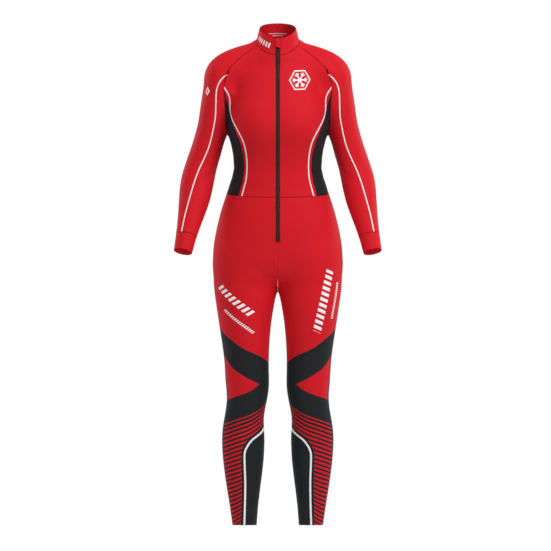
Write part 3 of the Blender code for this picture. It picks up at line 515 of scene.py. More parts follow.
def paint_front(tree, ground):
    """The white line and the badge."""
    colour = colour_mix(tree, on_line(tree, "torso_line", TORSO_LINE_WIDTH), ground, WHITE)
    badge = group_node(tree, BADGE_GROUP, Vector=placed(tree, object_place(tree), (BADGE_X, 0, BADGE_Z)),
                       Reach=BADGE_REACH, Ring=BADGE_RING, Arm=BADGE_ARM)
    return colour_mix(tree, badge.outputs["Mask"], colour, WHITE)


TORSO_CREASES = (
    Crease((0.132, 0, -0.250), (0.086, 0, -0.196), FRONT, 0.004, 0.0011, 0.0085),
    Crease((0.136, 0, -0.232), (0.108, 0, -0.160), FRONT, -0.003, 0.0009, 0.0075),
    Crease((0.124, 0, -0.352), (0.078, 0, -0.343), FRONT, 0.003, 0.0008, 0.0100),
    Crease((0.120, 0, -0.376), (0.088, 0, -0.383), FRONT, -0.002, 0.0006, 0.0080),
    Crease((0.116, 0, -0.345), (0.030, 0, -0.356), BACK, 0.006, 0.0016, 0.0130),
    Crease((0.104, 0, -0.378), (0.020, 0, -0.392), BACK, -0.004, 0.0012, 0.0110),
    Crease((0.128, 0, -0.236), (0.078, 0, -0.205), BACK, -0.005, 0.0012, 0.0100),
    Crease((0.130, 0, -0.218), (0.096, 0, -0.160), BACK, 0.004, 0.0009, 0.0080),
    Crease((0, -0.080, -0.338), (0, 0.060, -0.352), LEFT, 0.004, 0.0010, 0.0110),
    Crease((0, -0.050, -0.372), (0, 0.070, -0.380), LEFT, -0.003, 0.0007, 0.0090),
)
TORSO_LOW, TORSO_HIGH, TORSO_GIRTH = (0, 0, -0.42), (0, 0, 0.0), 0.80


def make_front(node):
    panel = smooth_panel(node)
    press_creases(panel, TORSO_CREASES)
    roll_edges(panel)
    lay_grain(panel, TORSO_LOW, TORSO_HIGH, TORSO_GIRTH, FRONT)
    store(panel, "torso_line", side_of_line(front_view(read_points(panel.data)), TORSO_LINE))
    panel.data.materials.append(FRONT_KNIT)
    give_body(panel)
    return as_cloth(panel, [node])


FRONT_KNIT = knit_material("front_knit", paint_front)
cloth = {node: make_front(node) for node in ("front_left", "front_right")}

# ---------------------------------------------------------------- the back and the side panels
# The back is one panel of the same red knit, with the front's white lines mirrored on it. The side panels
# between them are plain black knit and run up into the underarm.


def paint_back(tree, ground):
    return colour_mix(tree, on_line(tree, "torso_line", TORSO_LINE_WIDTH), ground, WHITE)


def make_back():
    panel = smooth_panel("back")
    press_creases(panel, TORSO_CREASES)
    roll_edges(panel)
    lay_grain(panel, TORSO_LOW, TORSO_HIGH, TORSO_GIRTH, BACK)
    store(panel, "torso_line", side_of_line(front_view(read_points(panel.data)), TORSO_LINE))
    panel.data.materials.append(knit_material("back_knit", paint_back))
    give_body(panel)
    return as_cloth(panel, ["back"])


def make_side(node, facing):
    panel = smooth_panel(node)
    press_creases(panel, TORSO_CREASES)
    roll_edges(panel)
    lay_grain(panel, TORSO_LOW, TORSO_HIGH, TORSO_GIRTH, facing)
    panel.data.materials.append(SIDE_KNIT)
    give_body(panel)
    return as_cloth(panel, [node])


SIDE_KNIT = knit_material("side_knit", ground=BLACK, sheen=(0.8, 0.85, 1.0, 1))
cloth["back"] = make_back()
cloth["side_left"] = make_side("side_left", LEFT)
cloth["side_right"] = make_side("side_right", -LEFT)

# ---------------------------------------------------------------- the sleeves and cuffs
# One-piece raglan sleeves of red knit, with a white line printed from the raglan seam down to the cuff, which
# is a separate band. The cloth creases a little at the underarm and inside the elbow.
SLEEVE_LINE = (
    LinePoint(0.1290, -0.0740), LinePoint(0.1416, -0.0818), LinePoint(0.1551, -0.0919),
    LinePoint(0.1672, -0.1097), LinePoint(0.1729, -0.1323), LinePoint(0.1740, -0.1593),
    LinePoint(0.1751, -0.1951), LinePoint(0.1790, -0.2222), LinePoint(0.1855, -0.2538),
    LinePoint(0.1940, -0.2851), LinePoint(0.2070, -0.3167), LinePoint(0.2215, -0.3480),
    LinePoint(0.2350, -0.3841), LinePoint(0.2465, -0.4230), LinePoint(0.2610, -0.4766),
    LinePoint(0.2700, -0.5194), LinePoint(0.2760, -0.5400),
)
SLEEVE_LINE_WIDTH = 0.0031
PAINTED_LIGHT_RED = (0.95, 0.020, 0.035, 1)   # painted light: a lighter red on the open cuffs' inside, against the shade that falls there
SLEEVE_CREASES = (
    Crease((0.152, 0, -0.248), (0.196, 0, -0.190), FRONT, 0.004, 0.0012, 0.0085),
    Crease((0.160, 0, -0.262), (0.204, 0, -0.228), FRONT, -0.003, 0.0009, 0.0080),
    Crease((0.152, 0, -0.246), (0.192, 0, -0.176), BACK, 0.004, 0.0011, 0.0090),
    Crease((0.176, 0, -0.352), (0.220, 0, -0.372), FRONT, 0.003, 0.0012, 0.0075),
    Crease((0.182, 0, -0.372), (0.232, 0, -0.384), FRONT, 0.003, 0.0014, 0.0080),
    Crease((0.190, 0, -0.398), (0.228, 0, -0.400), FRONT, -0.002, 0.0009, 0.0070),
    Crease((0.240, 0, -0.478), (0.282, 0, -0.492), FRONT, 0.002, 0.0007, 0.0070),
    Crease((0.184, 0, -0.330), (0.236, 0, -0.352), BACK, -0.004, 0.0010, 0.0110),
    Crease((0.196, 0, -0.400), (0.252, 0, -0.408), BACK, 0.004, 0.0009, 0.0100),
)
SLEEVE_TOP, SLEEVE_END, SLEEVE_GIRTH = (0.165, 0.012, -0.110), (0.2675, -0.089, -0.570), 0.27
MARK_AROUND, MARK_ALONG, MARK_REACH = 0.031, 0.4515, 0.0088     # a small diamond on the right upper arm
MARK_SLIMNESS, MARK_RIM = 1.4, 0.42


def make_diamond_group():
    """The rim of an upright diamond."""
    group, given, result = new_group("diamond", {"Vector": "Vector", "Reach": "Float"}, {"Mask": "Float"})
    split = group.nodes.new("ShaderNodeSeparateXYZ")
    group.links.new(given["Vector"], split.inputs["Vector"])
    across = math_node(group, "ABSOLUTE", split.outputs["X"])
    along = math_node(group, "ABSOLUTE", split.outputs["Y"])
    total = math_node(group, "ADD", math_node(group, "MULTIPLY", across, MARK_SLIMNESS), along)
    off_rim = math_node(group, "ABSOLUTE", math_node(group, "SUBTRACT", total, given["Reach"]))
    rim_half = math_node(group, "MULTIPLY", given["Reach"], MARK_RIM)
    group.links.new(math_node(group, "LESS_THAN", off_rim, rim_half), result["Mask"])
    return group


DIAMOND_GROUP = make_diamond_group()


def grain_place(tree):
    """The panel's own coordinates: metres round it and up it."""
    node = tree.nodes.new("ShaderNodeUVMap")
    node.uv_map = "grain"
    return node.outputs["UV"]


def paint_sleeve(tree, ground):
    return colour_mix(tree, on_line(tree, "sleeve_line", SLEEVE_LINE_WIDTH), ground, WHITE)


def paint_right_sleeve(tree, ground):
    mark = group_node(tree, DIAMOND_GROUP, Reach=MARK_REACH,
                      Vector=placed(tree, grain_place(tree), (-MARK_AROUND, MARK_ALONG, 0)))
    return colour_mix(tree, mark.outputs["Mask"], paint_sleeve(tree, ground), WHITE)


def make_sleeve_part(nodes, sign, materials):
    panel = smooth_panel(*nodes)
    press_creases(panel, SLEEVE_CREASES)
    roll_edges(panel)
    flip = np.array((sign, 1, 1))
    lay_grain(panel, np.array(SLEEVE_END) * flip, np.array(SLEEVE_TOP) * flip, SLEEVE_GIRTH, FRONT)
    store(panel, "sleeve_line", side_of_line(front_view(read_points(panel.data)), SLEEVE_LINE))
    for material in materials:
        panel.data.materials.append(material)
    give_body(panel).material_offset = len(materials) - 1
    return as_cloth(panel, nodes)


LEFT_SLEEVE_KNIT = knit_material("left_sleeve_knit", paint_sleeve)
RIGHT_SLEEVE_KNIT = knit_material("right_sleeve_knit", paint_right_sleeve)
# The cuffs' inside layer is painted a lighter red: painted light in the shade inside the open cuffs.
CUFF_KNITS = (knit_material("cuff_knit"), knit_material("cuff_inside_painted_light", ground=PAINTED_LIGHT_RED))
for side, sign, material in (("left", 1, LEFT_SLEEVE_KNIT), ("right", -1, RIGHT_SLEEVE_KNIT)):
    walls = ["sleeve_" + side, "sleeve_upper_" + side, "sleeve_lower_" + side]
    cloth["sleeve_" + side] = make_sleeve_part(
        walls, sign, [material])
    cloth["cuff_" + side] = make_sleeve_part(
        ["cuff_" + side], sign, CUFF_KNITS)

# ---------------------------------------------------------------- the collar
# A stand-up band of two layers, open at the centre front, sewn round the neckline. Outside it has a row of
# short slanted bars on the wearer's right, and inside two thin bars at the back.
COLLAR_LAYERS = 0.0013
COLLAR_LOW, COLLAR_HIGH, COLLAR_GIRTH = (0, 0, -0.02), (0, 0, 0.05), 0.365
COLLAR_HEIGHT = 0.048
BAR_SLANT = 0.30
COLLAR_BARS_PLACE = (-0.0440, 0.0235, 0)        # round the collar and up it
NECK_BARS = ((0.0275, 0.050), (0.0215, 0.030))  # height and length
NECK_BAR_HALF = 0.0011
NECK_BAR_COLOUR = (0.80, 0.62, 0.64, 1)
NECK_SECTORS = 72               # in which the collar's seam and rim are found


def make_bars_group():
    """A row of slanted bars, centred where its vector is zero."""
    group, given, result = new_group(
        "slanted_bars", {"Vector": "Vector", "Length": "Float", "Height": "Float", "Pitch": "Float",
                         "Share": "Float"}, {"Mask": "Float"})
    split = group.nodes.new("ShaderNodeSeparateXYZ")
    group.links.new(given["Vector"], split.inputs["Vector"])
    across, up = split.outputs["X"], split.outputs["Y"]
    slanted = math_node(group, "SUBTRACT", across, math_node(group, "MULTIPLY", up, BAR_SLANT))
    step = math_node(group, "FRACT", math_node(group, "DIVIDE", slanted, given["Pitch"]))
    bar = math_node(group, "LESS_THAN", step, given["Share"])
    in_length = math_node(group, "LESS_THAN", math_node(group, "ABSOLUTE", slanted),
                          math_node(group, "MULTIPLY", given["Length"], 0.5))
    in_height = math_node(group, "LESS_THAN", math_node(group, "ABSOLUTE", up),
                          math_node(group, "MULTIPLY", given["Height"], 0.5))
    group.links.new(both(group, bar, in_length, in_height), result["Mask"])
    return group


BARS_GROUP = make_bars_group()


def collar_height(points):
    """Height between the collar's seam and rim at each point's turn round the neck, as a share."""
    turn = np.arctan2(points[:, 0], -points[:, 1])
    bins = np.linspace(-np.pi, np.pi, NECK_SECTORS + 1)
    which = np.digitize(turn, bins)
    middles, low, high = [], [], []
    for i in range(1, len(bins)):
        here = points[which == i]
        if len(here):
            middles.append((bins[i - 1] + bins[i]) / 2)
            low.append(here[:, 2].min())
            high.append(here[:, 2].max())
    low, high = np.interp(turn, middles, low), np.interp(turn, middles, high)
    return (points[:, 2] - low) / (high - low)


def paint_collar(tree, ground):
    """The row of bars lies along the middle of the collar's height."""
    grain = tree.nodes.new("ShaderNodeSeparateXYZ")
    tree.links.new(grain_place(tree), grain.inputs["Vector"])
    level = tree.nodes.new("ShaderNodeCombineXYZ")
    tree.links.new(grain.outputs["X"], level.inputs["X"])
    height = math_node(tree, "MULTIPLY", stored(tree, "collar_height"), COLLAR_HEIGHT)
    tree.links.new(height, level.inputs["Y"])
    bars = group_node(tree, BARS_GROUP, Vector=placed(tree, level.outputs["Vector"], COLLAR_BARS_PLACE),
                      Length=0.050, Height=0.0150, Pitch=0.0085, Share=0.55)
    return colour_mix(tree, bars.outputs["Mask"], ground, WHITE)


def paint_collar_inside(tree, ground):
    """Two thin bars on the inside of the back."""
    colour = ground
    for centre_z, length in NECK_BARS:
        split = tree.nodes.new("ShaderNodeSeparateXYZ")
        tree.links.new(placed(tree, object_place(tree), (0, 0, centre_z)), split.inputs["Vector"])
        across, up = (math_node(tree, "ABSOLUTE", split.outputs[axis]) for axis in ("X", "Z"))
        bar = both(tree, math_node(tree, "LESS_THAN", across, length / 2),
                   math_node(tree, "LESS_THAN", up, NECK_BAR_HALF),
                   math_node(tree, "GREATER_THAN", split.outputs["Y"], 0.0))
        colour = colour_mix(tree, bar, colour, NECK_BAR_COLOUR)
    return colour


def make_collar():
    panel = smooth_panel("collar", fineness=2)
    roll_edges(panel)
    points = read_points(panel.data)
    lay_grain(panel, COLLAR_LOW, COLLAR_HIGH, COLLAR_GIRTH, FRONT)
    store(panel, "collar_height", collar_height(points))
    panel.data.materials.append(knit_material("collar_knit", paint_collar))
    panel.data.materials.append(knit_material("collar_inside", paint_collar_inside))
    give_body(panel, COLLAR_LAYERS).material_offset = 1
    return as_cloth(panel, ["collar"])


cloth["collar"] = make_collar()

# ---------------------------------------------------------------- the legs
# Front and back of each leg, waist seam to ankle, in printed knit. Two black bands cross at the knee round a
# red wedge, and the calf has red stripes outside a white line and is black inside. The back of the leg is
# black below the seat.
BAND_TOP = (LinePoint(0.000, -0.9110), LinePoint(0.0259, -0.8922), LinePoint(0.0510, -0.8739),
            LinePoint(0.1001, -0.8511), LinePoint(0.1458, -0.8158), LinePoint(0.1627, -0.7944),
            LinePoint(0.1850, -0.7600))
WEDGE_TOP = (LinePoint(0.000, -0.9800), LinePoint(0.0519, -0.9534), LinePoint(0.0877, -0.9351),
             LinePoint(0.1244, -0.9106), LinePoint(0.1413, -0.8891), LinePoint(0.1495, -0.8739),
             LinePoint(0.1700, -0.8300))
WEDGE_FOOT = (LinePoint(0.000, -0.9050), LinePoint(0.0519, -0.9534), LinePoint(0.0756, -0.9718),
              LinePoint(0.1091, -0.9856), LinePoint(0.1399, -0.9972), LinePoint(0.1700, -1.0120))
BAND_FOOT = (LinePoint(0.000, -0.9740), LinePoint(0.0307, -1.0050), LinePoint(0.0465, -1.0210),
             LinePoint(0.0753, -1.0390), LinePoint(0.1125, -1.0520), LinePoint(0.1472, -1.0650),
             LinePoint(0.1800, -1.0780))
CALF_LINE = (
    LinePoint(0.0250, -1.0600), LinePoint(0.0392, -1.0801), LinePoint(0.0465, -1.0902),
    LinePoint(0.0581, -1.1001), LinePoint(0.0725, -1.1116), LinePoint(0.0838, -1.1260),
    LinePoint(0.0911, -1.1404), LinePoint(0.0939, -1.1548), LinePoint(0.0933, -1.1864),
    LinePoint(0.0919, -1.2295), LinePoint(0.0925, -1.2871), LinePoint(0.0945, -1.3508),
    LinePoint(0.0955, -1.3800),
)
CALF_LINE_WIDTH = 0.0054
CALF_MARGIN = 0.0095            # from the white line's middle to the stripes' ends
STRIPE_PITCH = 0.0130
STRIPE_SLIP = 0.17              # each stripe lies further out than the one above, as a share of the drop
FIRST_CROWD, CROWD_FADE = 0.0046, 0.020     # the first stripes lie closer together
STRIPE_FIRST, STRIPE_GROWTH, STRIPE_MOST = 0.34, 0.045, 0.52    # the red share of each stripe, from the first
SLIP_ROUNDS = 6
MARGIN_WIDTH, MARGIN_TOP, MARGIN_GROWTH = 0.0195, -0.612, 0.082     # black beside the outer seam
MARGIN_FOOT, MARGIN_FALL = -1.400, 0.070        # and where it ends below
HEM_TILT, HEM_PIVOT, HEM_FADE = 0.122, 0.010, 0.060     # the hem drops towards the back
OUTWARD = 0.8                   # the outer seam's normals point sideways at least this much
SEAT_LINE = (LinePoint(0.000, -0.8700), LinePoint(0.040, -0.8350), LinePoint(0.090, -0.7750),
             LinePoint(0.140, -0.7150), LinePoint(0.172, -0.6700), LinePoint(0.190, -0.6400))
LEG_X, LEG_GIRTH = 0.0925, 0.50
LEG_CREASES = (
    Crease((0.010, 0, -0.668), (0.070, 0, -0.600), FRONT, 0.006, 0.0015, 0.0110),
    Crease((0.014, 0, -0.690), (0.096, 0, -0.652), FRONT, 0.008, 0.0011, 0.0110),
    Crease((0.012, 0, -0.640), (0.040, 0, -0.572), FRONT, -0.004, 0.0008, 0.0100),
    Crease((0.012, 0, -0.712), (0.120, 0, -0.700), BACK, -0.010, 0.0022, 0.0130),
    Crease((0.030, 0, -0.742), (0.110, 0, -0.738), BACK, -0.006, 0.0010, 0.0110),
    Crease((0.044, 0, -0.975), (0.132, 0, -0.985), BACK, 0.005, 0.0016, 0.0090),
    Crease((0.050, 0, -1.002), (0.138, 0, -1.000), BACK, -0.004, 0.0019, 0.0090),
    Crease((0.052, 0, -1.030), (0.128, 0, -1.036), BACK, 0.004, 0.0012, 0.0085),
    Crease((0.052, 0, -0.918), (0.120, 0, -0.930), FRONT, -0.004, 0.0006, 0.0110),
    Crease((0.060, 0, -1.016), (0.128, 0, -1.008), FRONT, 0.004, 0.0008, 0.0100),
    Crease((0.072, 0, -1.296), (0.116, 0, -1.304), FRONT, 0.002, 0.0006, 0.0080),
    Crease((0.070, 0, -1.270), (0.124, 0, -1.262), BACK, -0.003, 0.0008, 0.0090),
)


def height_over(places, rows):
    """Height of each place above a line that runs across the leg."""
    line = smooth_line(rows)
    return places[:, 1] - np.interp(places[:, 0], line[:, 0], line[:, 1])


def stripe_count(places):
    """How many stripes below the bands each place lies."""
    line = smooth_line(BAND_FOOT)
    drop = np.zeros(len(places))
    for _ in range(SLIP_ROUNDS):
        slipped = places[:, 0] - STRIPE_SLIP * np.maximum(drop, 0)
        drop = np.interp(slipped, line[:, 0], line[:, 1]) - places[:, 1]
    return (drop + FIRST_CROWD * (1 - np.exp(-np.maximum(drop, 0) / CROWD_FADE))) / STRIPE_PITCH


def tilt_hem(panel):
    """The hem, cut level on the wall, drops a little towards the back."""
    points = read_points(panel.data)
    share = np.clip(1 - (points[:, 2] - points[:, 2].min()) / HEM_FADE, 0, 1) ** 2
    points[:, 2] -= HEM_TILT * (points[:, 1] - HEM_PIVOT) * share
    write_points(panel.data, points)


def edge_distance(panel, outward):
    """Distance of each point from the panel's outer side seam."""
    form = bmesh.new()
    form.from_mesh(panel.data)
    seam = [vert.co.copy() for vert in form.verts
            if vert.is_boundary and vert.normal.x * outward > OUTWARD]
    form.free()
    tree = KDTree(len(seam))
    for i, place in enumerate(seam):
        tree.insert(place, i)
    tree.balance()
    return np.array([tree.find(vert.co)[2] for vert in panel.data.vertices])


def paint_bands(tree, ground):
    """Black bands with the red wedge, then stripes, then the calf line with its black inside."""
    below = {name: math_node(tree, "LESS_THAN", stored(tree, name), 0.0)
             for name in ("band_top", "wedge_top", "wedge_foot", "band_foot")}
    above_wedge_foot = math_node(tree, "SUBTRACT", 1.0, below["wedge_foot"])
    wedge = both(tree, below["wedge_top"], above_wedge_foot)
    black = both(tree, below["band_top"], math_node(tree, "SUBTRACT", 1.0, wedge))
    count = stored(tree, "stripe_count")
    share = math_node(tree, "MULTIPLY_ADD", count, STRIPE_GROWTH, STRIPE_FIRST)
    share = math_node(tree, "MINIMUM", share, STRIPE_MOST)
    stripe = both(tree, math_node(tree, "LESS_THAN", math_node(tree, "FRACT", count), share),
                  below["band_foot"], math_node(tree, "GREATER_THAN", stored(tree, "calf_line"), CALF_MARGIN))
    place = tree.nodes.new("ShaderNodeSeparateXYZ")
    tree.links.new(object_place(tree), place.inputs["Vector"])
    under_top = math_node(tree, "SUBTRACT", MARGIN_TOP, place.outputs["Z"])
    over_foot = math_node(tree, "SUBTRACT", place.outputs["Z"], MARGIN_FOOT)
    growth = math_node(tree, "MULTIPLY", under_top, MARGIN_GROWTH)
    fall = math_node(tree, "MULTIPLY", over_foot, MARGIN_FALL)
    margin = math_node(tree, "MINIMUM", math_node(tree, "MINIMUM", growth, fall), MARGIN_WIDTH)
    side_strip = math_node(tree, "LESS_THAN", stored(tree, "outseam"), margin)
    red = math_node(tree, "SUBTRACT", 1.0, math_node(tree, "MAXIMUM", side_strip, both(
        tree, black, math_node(tree, "SUBTRACT", 1.0, stripe))))
    colour = colour_mix(tree, red, BLACK, ground)
    return colour_mix(tree, on_line(tree, "calf_line", CALF_LINE_WIDTH), colour, WHITE)


# Rows of bars on the thighs: each centre's place round and up the leg, its turn, size and pitch.
BarRow = namedtuple("BarRow", "around height turn length tall pitch share")
LEFT_THIGH_BARS = (
    BarRow(0.033, -0.715, math.radians(79), 0.176, 0.0220, 0.0160, 0.55),
    BarRow(0.071, -0.715, math.radians(81), 0.104, 0.0085, 0.0065, 0.60),
)
RIGHT_THIGH_BARS = (
    BarRow(-0.024, -0.715, math.radians(-41), 0.120, 0.0200, 0.0150, 0.55),
    BarRow(-0.016, -0.773, math.radians(-39), 0.102, 0.0080, 0.0065, 0.60),
)


def thigh_painter(rows):
    """A paint function for a leg's front with these rows of bars."""
    def paint(tree, ground):
        colour = paint_bands(tree, ground)
        for row in rows:
            centre = placed(tree, grain_place(tree), (row.around, row.height, 0), row.turn)
            bars = group_node(tree, BARS_GROUP, Vector=centre, Length=row.length, Height=row.tall,
                              Pitch=row.pitch, Share=row.share)
            colour = colour_mix(tree, bars.outputs["Mask"], colour, WHITE)
        return colour
    return paint


def paint_leg_back(tree, ground):
    """Red above the slanted line across the seat, black below."""
    below_seat = math_node(tree, "LESS_THAN", stored(tree, "seat_line"), 0.0)
    return colour_mix(tree, below_seat, ground, BLACK)


def make_leg_part(node, sign, material, facing):
    panel = smooth_panel(node)
    press_creases(panel, LEG_CREASES)
    tilt_hem(panel)
    roll_edges(panel)
    lay_grain(panel, (sign * LEG_X, 0, 0), (sign * LEG_X, 0, 1), LEG_GIRTH, facing)
    places = front_view(read_points(panel.data))
    for name, rows in (("band_top", BAND_TOP), ("wedge_top", WEDGE_TOP), ("wedge_foot", WEDGE_FOOT),
                       ("band_foot", BAND_FOOT), ("seat_line", SEAT_LINE)):
        store(panel, name, height_over(places, rows))
    store(panel, "stripe_count", stripe_count(places))
    store(panel, "calf_line", -side_of_line(places, CALF_LINE))
    store(panel, "outseam", edge_distance(panel, sign))
    panel.data.materials.append(material)
    give_body(panel)
    return as_cloth(panel, [node])


LEG_BACK_KNIT = knit_material("leg_back_knit", paint_leg_back)
for side, sign, rows in (("left", 1, LEFT_THIGH_BARS), ("right", -1, RIGHT_THIGH_BARS)):
    leg_knit = knit_material(side + "_leg_knit", thigh_painter(rows))
    cloth["leg_front_" + side] = make_leg_part(
        "leg_front_" + side, sign, leg_knit, FRONT)
    cloth["leg_back_" + side] = make_leg_part(
        "leg_back_" + side, sign, LEG_BACK_KNIT, BACK)

# ---------------------------------------------------------------- the zip
# A coil zip from the legs up into the collar: two woven black tapes between the panels, with the coil's
# teeth along the middle. A red knit tab covers the small lacquered slider at its top.
TAPE, TAPE_SINK = 0.0006, 0.0004
TAPE_BLACK = (0.013, 0.014, 0.016, 1)
TOOTH_PITCH, TOOTH_RADIUS, TOOTH_LENGTH = 0.0015, 0.00045, 0.0034
TOOTH_SHIFT = 0.0005            # each tooth reaches past the middle from its own side
TOOTH_LIFT = 0.0002
COIL_TOP = 0.0080               # just under the slider
TAPE_EDGE = 0.001               # only the left tape's edge in the middle lies nearer than this
WEAR_SCALE, WEAR_SPREAD = 900.0, 0.2


def make_tape(node):
    """One tape, a little below the panels beside it."""
    panel = smooth_panel(node, fineness=2)
    write_points(panel.data, read_points(panel.data) - TAPE_SINK * read_normals(panel.data))
    lay_grain(panel, TORSO_LOW, TORSO_HIGH, TORSO_GIRTH, FRONT)
    panel.data.materials.append(TAPE_WEAVE)
    give_body(panel, TAPE)
    return as_cloth(panel, [node])


def make_garage():
    """The tab over the slider."""
    panel = smooth_panel("zip_garage")
    roll_edges(panel)
    lay_grain(panel, COLLAR_LOW, COLLAR_HIGH, COLLAR_GIRTH, FRONT)
    panel.data.materials.append(knit_material("garage_knit"))
    give_body(panel)
    return as_cloth(panel, ["zip_garage"])


def hard_material(name, colour, roughness, metallic=0.0):
    """A small smooth part with a slightly uneven gloss."""
    material = bpy.data.materials.new(name)
    material.use_nodes = True
    tree = material.node_tree
    shader = tree.nodes["Principled BSDF"]
    shader.inputs["Base Color"].default_value = colour
    shader.inputs["Metallic"].default_value = metallic
    wear = tree.nodes.new("ShaderNodeTexNoise")
    wear.inputs["Scale"].default_value = WEAR_SCALE
    tree.links.new(object_place(tree), wear.inputs["Vector"])
    uneven = math_node(tree, "MULTIPLY_ADD", wear.outputs["Fac"], WEAR_SPREAD, roughness - WEAR_SPREAD / 2)
    tree.links.new(uneven, shader.inputs["Roughness"])
    return material


def standing(place, ahead, up):
    """A matrix at a place with its X ahead and its Z up from the cloth."""
    ahead, up = Vector(ahead).normalized(), Vector(up)
    side = up.cross(ahead).normalized()
    return Matrix.Translation(place) @ Matrix((ahead, side, ahead.cross(side))).transposed().to_4x4()


def joined_copies(name, form, frames, material):
    """One piece made of many copies of a small shape."""
    shape = bpy.data.meshes.new(name)
    form.to_mesh(shape)
    form.free()
    joined = bmesh.new()
    for at in frames:
        copy = shape.copy()
        copy.transform(at)
        joined.from_mesh(copy)
        bpy.data.meshes.remove(copy)
    joined.to_mesh(shape)
    joined.free()
    shape.shade_smooth()
    shape.materials.append(material)
    piece = add_piece(name, shape)
    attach(piece, "root")
    return piece


def spaced(run, pitch):
    """Points and normals at even steps along a run of them."""
    places, normals = (np.array([row[i] for row in run]) for i in (0, 1))
    lengths = np.concatenate(((0.0,), np.cumsum(np.linalg.norm(np.diff(places, axis=0), axis=1))))
    steps = np.arange(pitch / 2, lengths[-1], pitch)
    tables = (np.stack([np.interp(steps, lengths, column) for column in table.T], axis=1)
              for table in (places, normals))
    return [[Vector(row) for row in table] for table in tables]


def make_coil():
    """Teeth from both sides in turn, up the tapes' meeting edge."""
    tape = cloth["zip_tape_left"].data
    edge = sorted((vert.co.z, tuple(vert.co), tuple(vert.normal)) for vert in tape.vertices
                  if vert.co.x < TAPE_EDGE and vert.co.z < COIL_TOP)
    places, normals = spaced([row[1:] for row in edge], TOOTH_PITCH / 2)
    frames = []
    for i, (place, normal) in enumerate(zip(places, normals)):
        shift = TOOTH_SHIFT * (1 if i % 2 else -1) - place.x
        frames.append(standing(place + Vector((shift, 0, 0)) + TOOTH_LIFT * normal, (1, 0, 0), normal))
    tooth = bmesh.new()
    bmesh.ops.create_cone(tooth, cap_ends=True, segments=6, radius1=TOOTH_RADIUS, radius2=TOOTH_RADIUS,
                          depth=TOOTH_LENGTH, matrix=Matrix.Rotation(math.pi / 2, 4, "Y"))
    joined_copies("zip_coil", tooth, frames, COIL_NYLON)


TAPE_WEAVE = knit_material("tape_weave", ground=TAPE_BLACK, sheen=(0.8, 0.85, 1.0, 1))
COIL_NYLON = hard_material("coil_nylon", (0.020, 0.021, 0.024, 1), 0.45)
for node in ("zip_tape_left", "zip_tape_right"):
    cloth[node] = make_tape(node)
make_coil()
cloth["zip_garage"] = make_garage()
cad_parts["zip_slider"].material_slots[0].material = hard_material(
    "slider_lacquer", (0.022, 0.024, 0.027, 1), 0.35, 0.8)

# ---------------------------------------------------------------- the sewing
# The panels are joined with flat seams: a zigzag of thread lies over each but the short one below the zip.
# Beside the zip, and where cuffs and leg hems are turned up, straight rows hold the cloth.
SEAM_REACH = 0.0012             # two panels' edges that lie closer than this are sewn together
ZIGZAG_PITCH, ZIGZAG_WIDTH = 0.0018, 0.0024
THREAD, THREAD_LIFT = 0.0004, 0.0006
ROW_PITCH, ROW_STITCH = 0.0030, 0.0022
ZIP_ROW_X = 0.0107
HEM_ROWS = (0.0150, 0.0180)     # heights of the two rows over a leg's hem
CUFF_ROWS = (0.0100, 0.0125)
WRIST, WRIST_AXIS = (0.2675, -0.0890, -0.5700), (-0.0205, 0.0370, 0.0850)
RING_RAYS, RAY_REACH = 64, 0.2
RED_SEAMS = (
    "collar front_left", "collar front_right", "collar back", "collar sleeve_left", "collar sleeve_right",
    "sleeve_left front_left", "sleeve_right front_right", "sleeve_left back", "sleeve_right back",
    "leg_front_left front_left", "leg_front_right front_right", "leg_back_left back", "leg_back_right back",
    "cuff_left sleeve_left", "cuff_right sleeve_right", "leg_back_left leg_back_right",
)
BLACK_SEAMS = tuple(pair.replace("SIDE", side) for side in ("left", "right") for pair in (
    "side_SIDE front_SIDE", "side_SIDE back", "side_SIDE sleeve_SIDE", "side_SIDE leg_front_SIDE",
    "side_SIDE leg_back_SIDE", "leg_front_SIDE leg_back_SIDE"))


def edge_of(panel):
    """The panel's edge: each point's place, normal and neighbours round the edge."""
    form = bmesh.new()
    form.from_mesh(panel.data)
    form.normal_update()
    edge = {vert.index: (vert.co.copy(), vert.normal.copy(),
                         [link.other_vert(vert).index for link in vert.link_edges if link.is_boundary])
            for vert in form.verts if vert.is_boundary}
    form.free()
    return edge


def seam_runs(first, second):
    """The stretches where two panels' edges meet, as runs of places and normals."""
    mine, others = edge_of(cloth[first]), list(edge_of(cloth[second]).values())
    tree = KDTree(len(others))
    for i, other in enumerate(others):
        tree.insert(other[0], i)
    tree.balance()
    shared = {}
    for index, (place, normal, _) in mine.items():
        near, i, gap = tree.find(place)
        if gap < SEAM_REACH:
            shared[index] = ((place + near) / 2, (normal + others[i][1]).normalized())
    runs, left = [], dict(shared)
    while left:
        ends = [i for i in left if sum(n in left for n in mine[i][2]) < 2]
        at, run = min(ends or left), []
        while at is not None:
            run.append(shared[at])
            del left[at]
            at = next((n for n in mine[at][2] if n in left), None)
        runs.append(run)
    return [run for run in runs if len(run) > 2]


def stitch(place, ahead, up, length):
    """A matrix that turns the thread's spindle into one stitch."""
    return standing(place, ahead, up) @ Matrix.Diagonal((length, THREAD, THREAD, 1))


def zigzag(run):
    """Stitches that cross the seam to one side and the other in turn."""
    places, normals = spaced(run, ZIGZAG_PITCH)
    frames = []
    for i, (start, end, normal) in enumerate(zip(places, places[1:], normals)):
        across = normal.cross(end - start).normalized() * ZIGZAG_WIDTH * (1 if i % 2 else -1)
        path = end - start + across
        frames.append(stitch((start + end) / 2 + THREAD_LIFT * normal, path, normal, path.length))
    return frames


def straight_row(run):
    """Stitches one after another."""
    places, normals = spaced(run, ROW_PITCH)
    return [stitch(start, end - start, normal, ROW_STITCH)
            for start, end, normal in zip(places, places[1:], normals)]


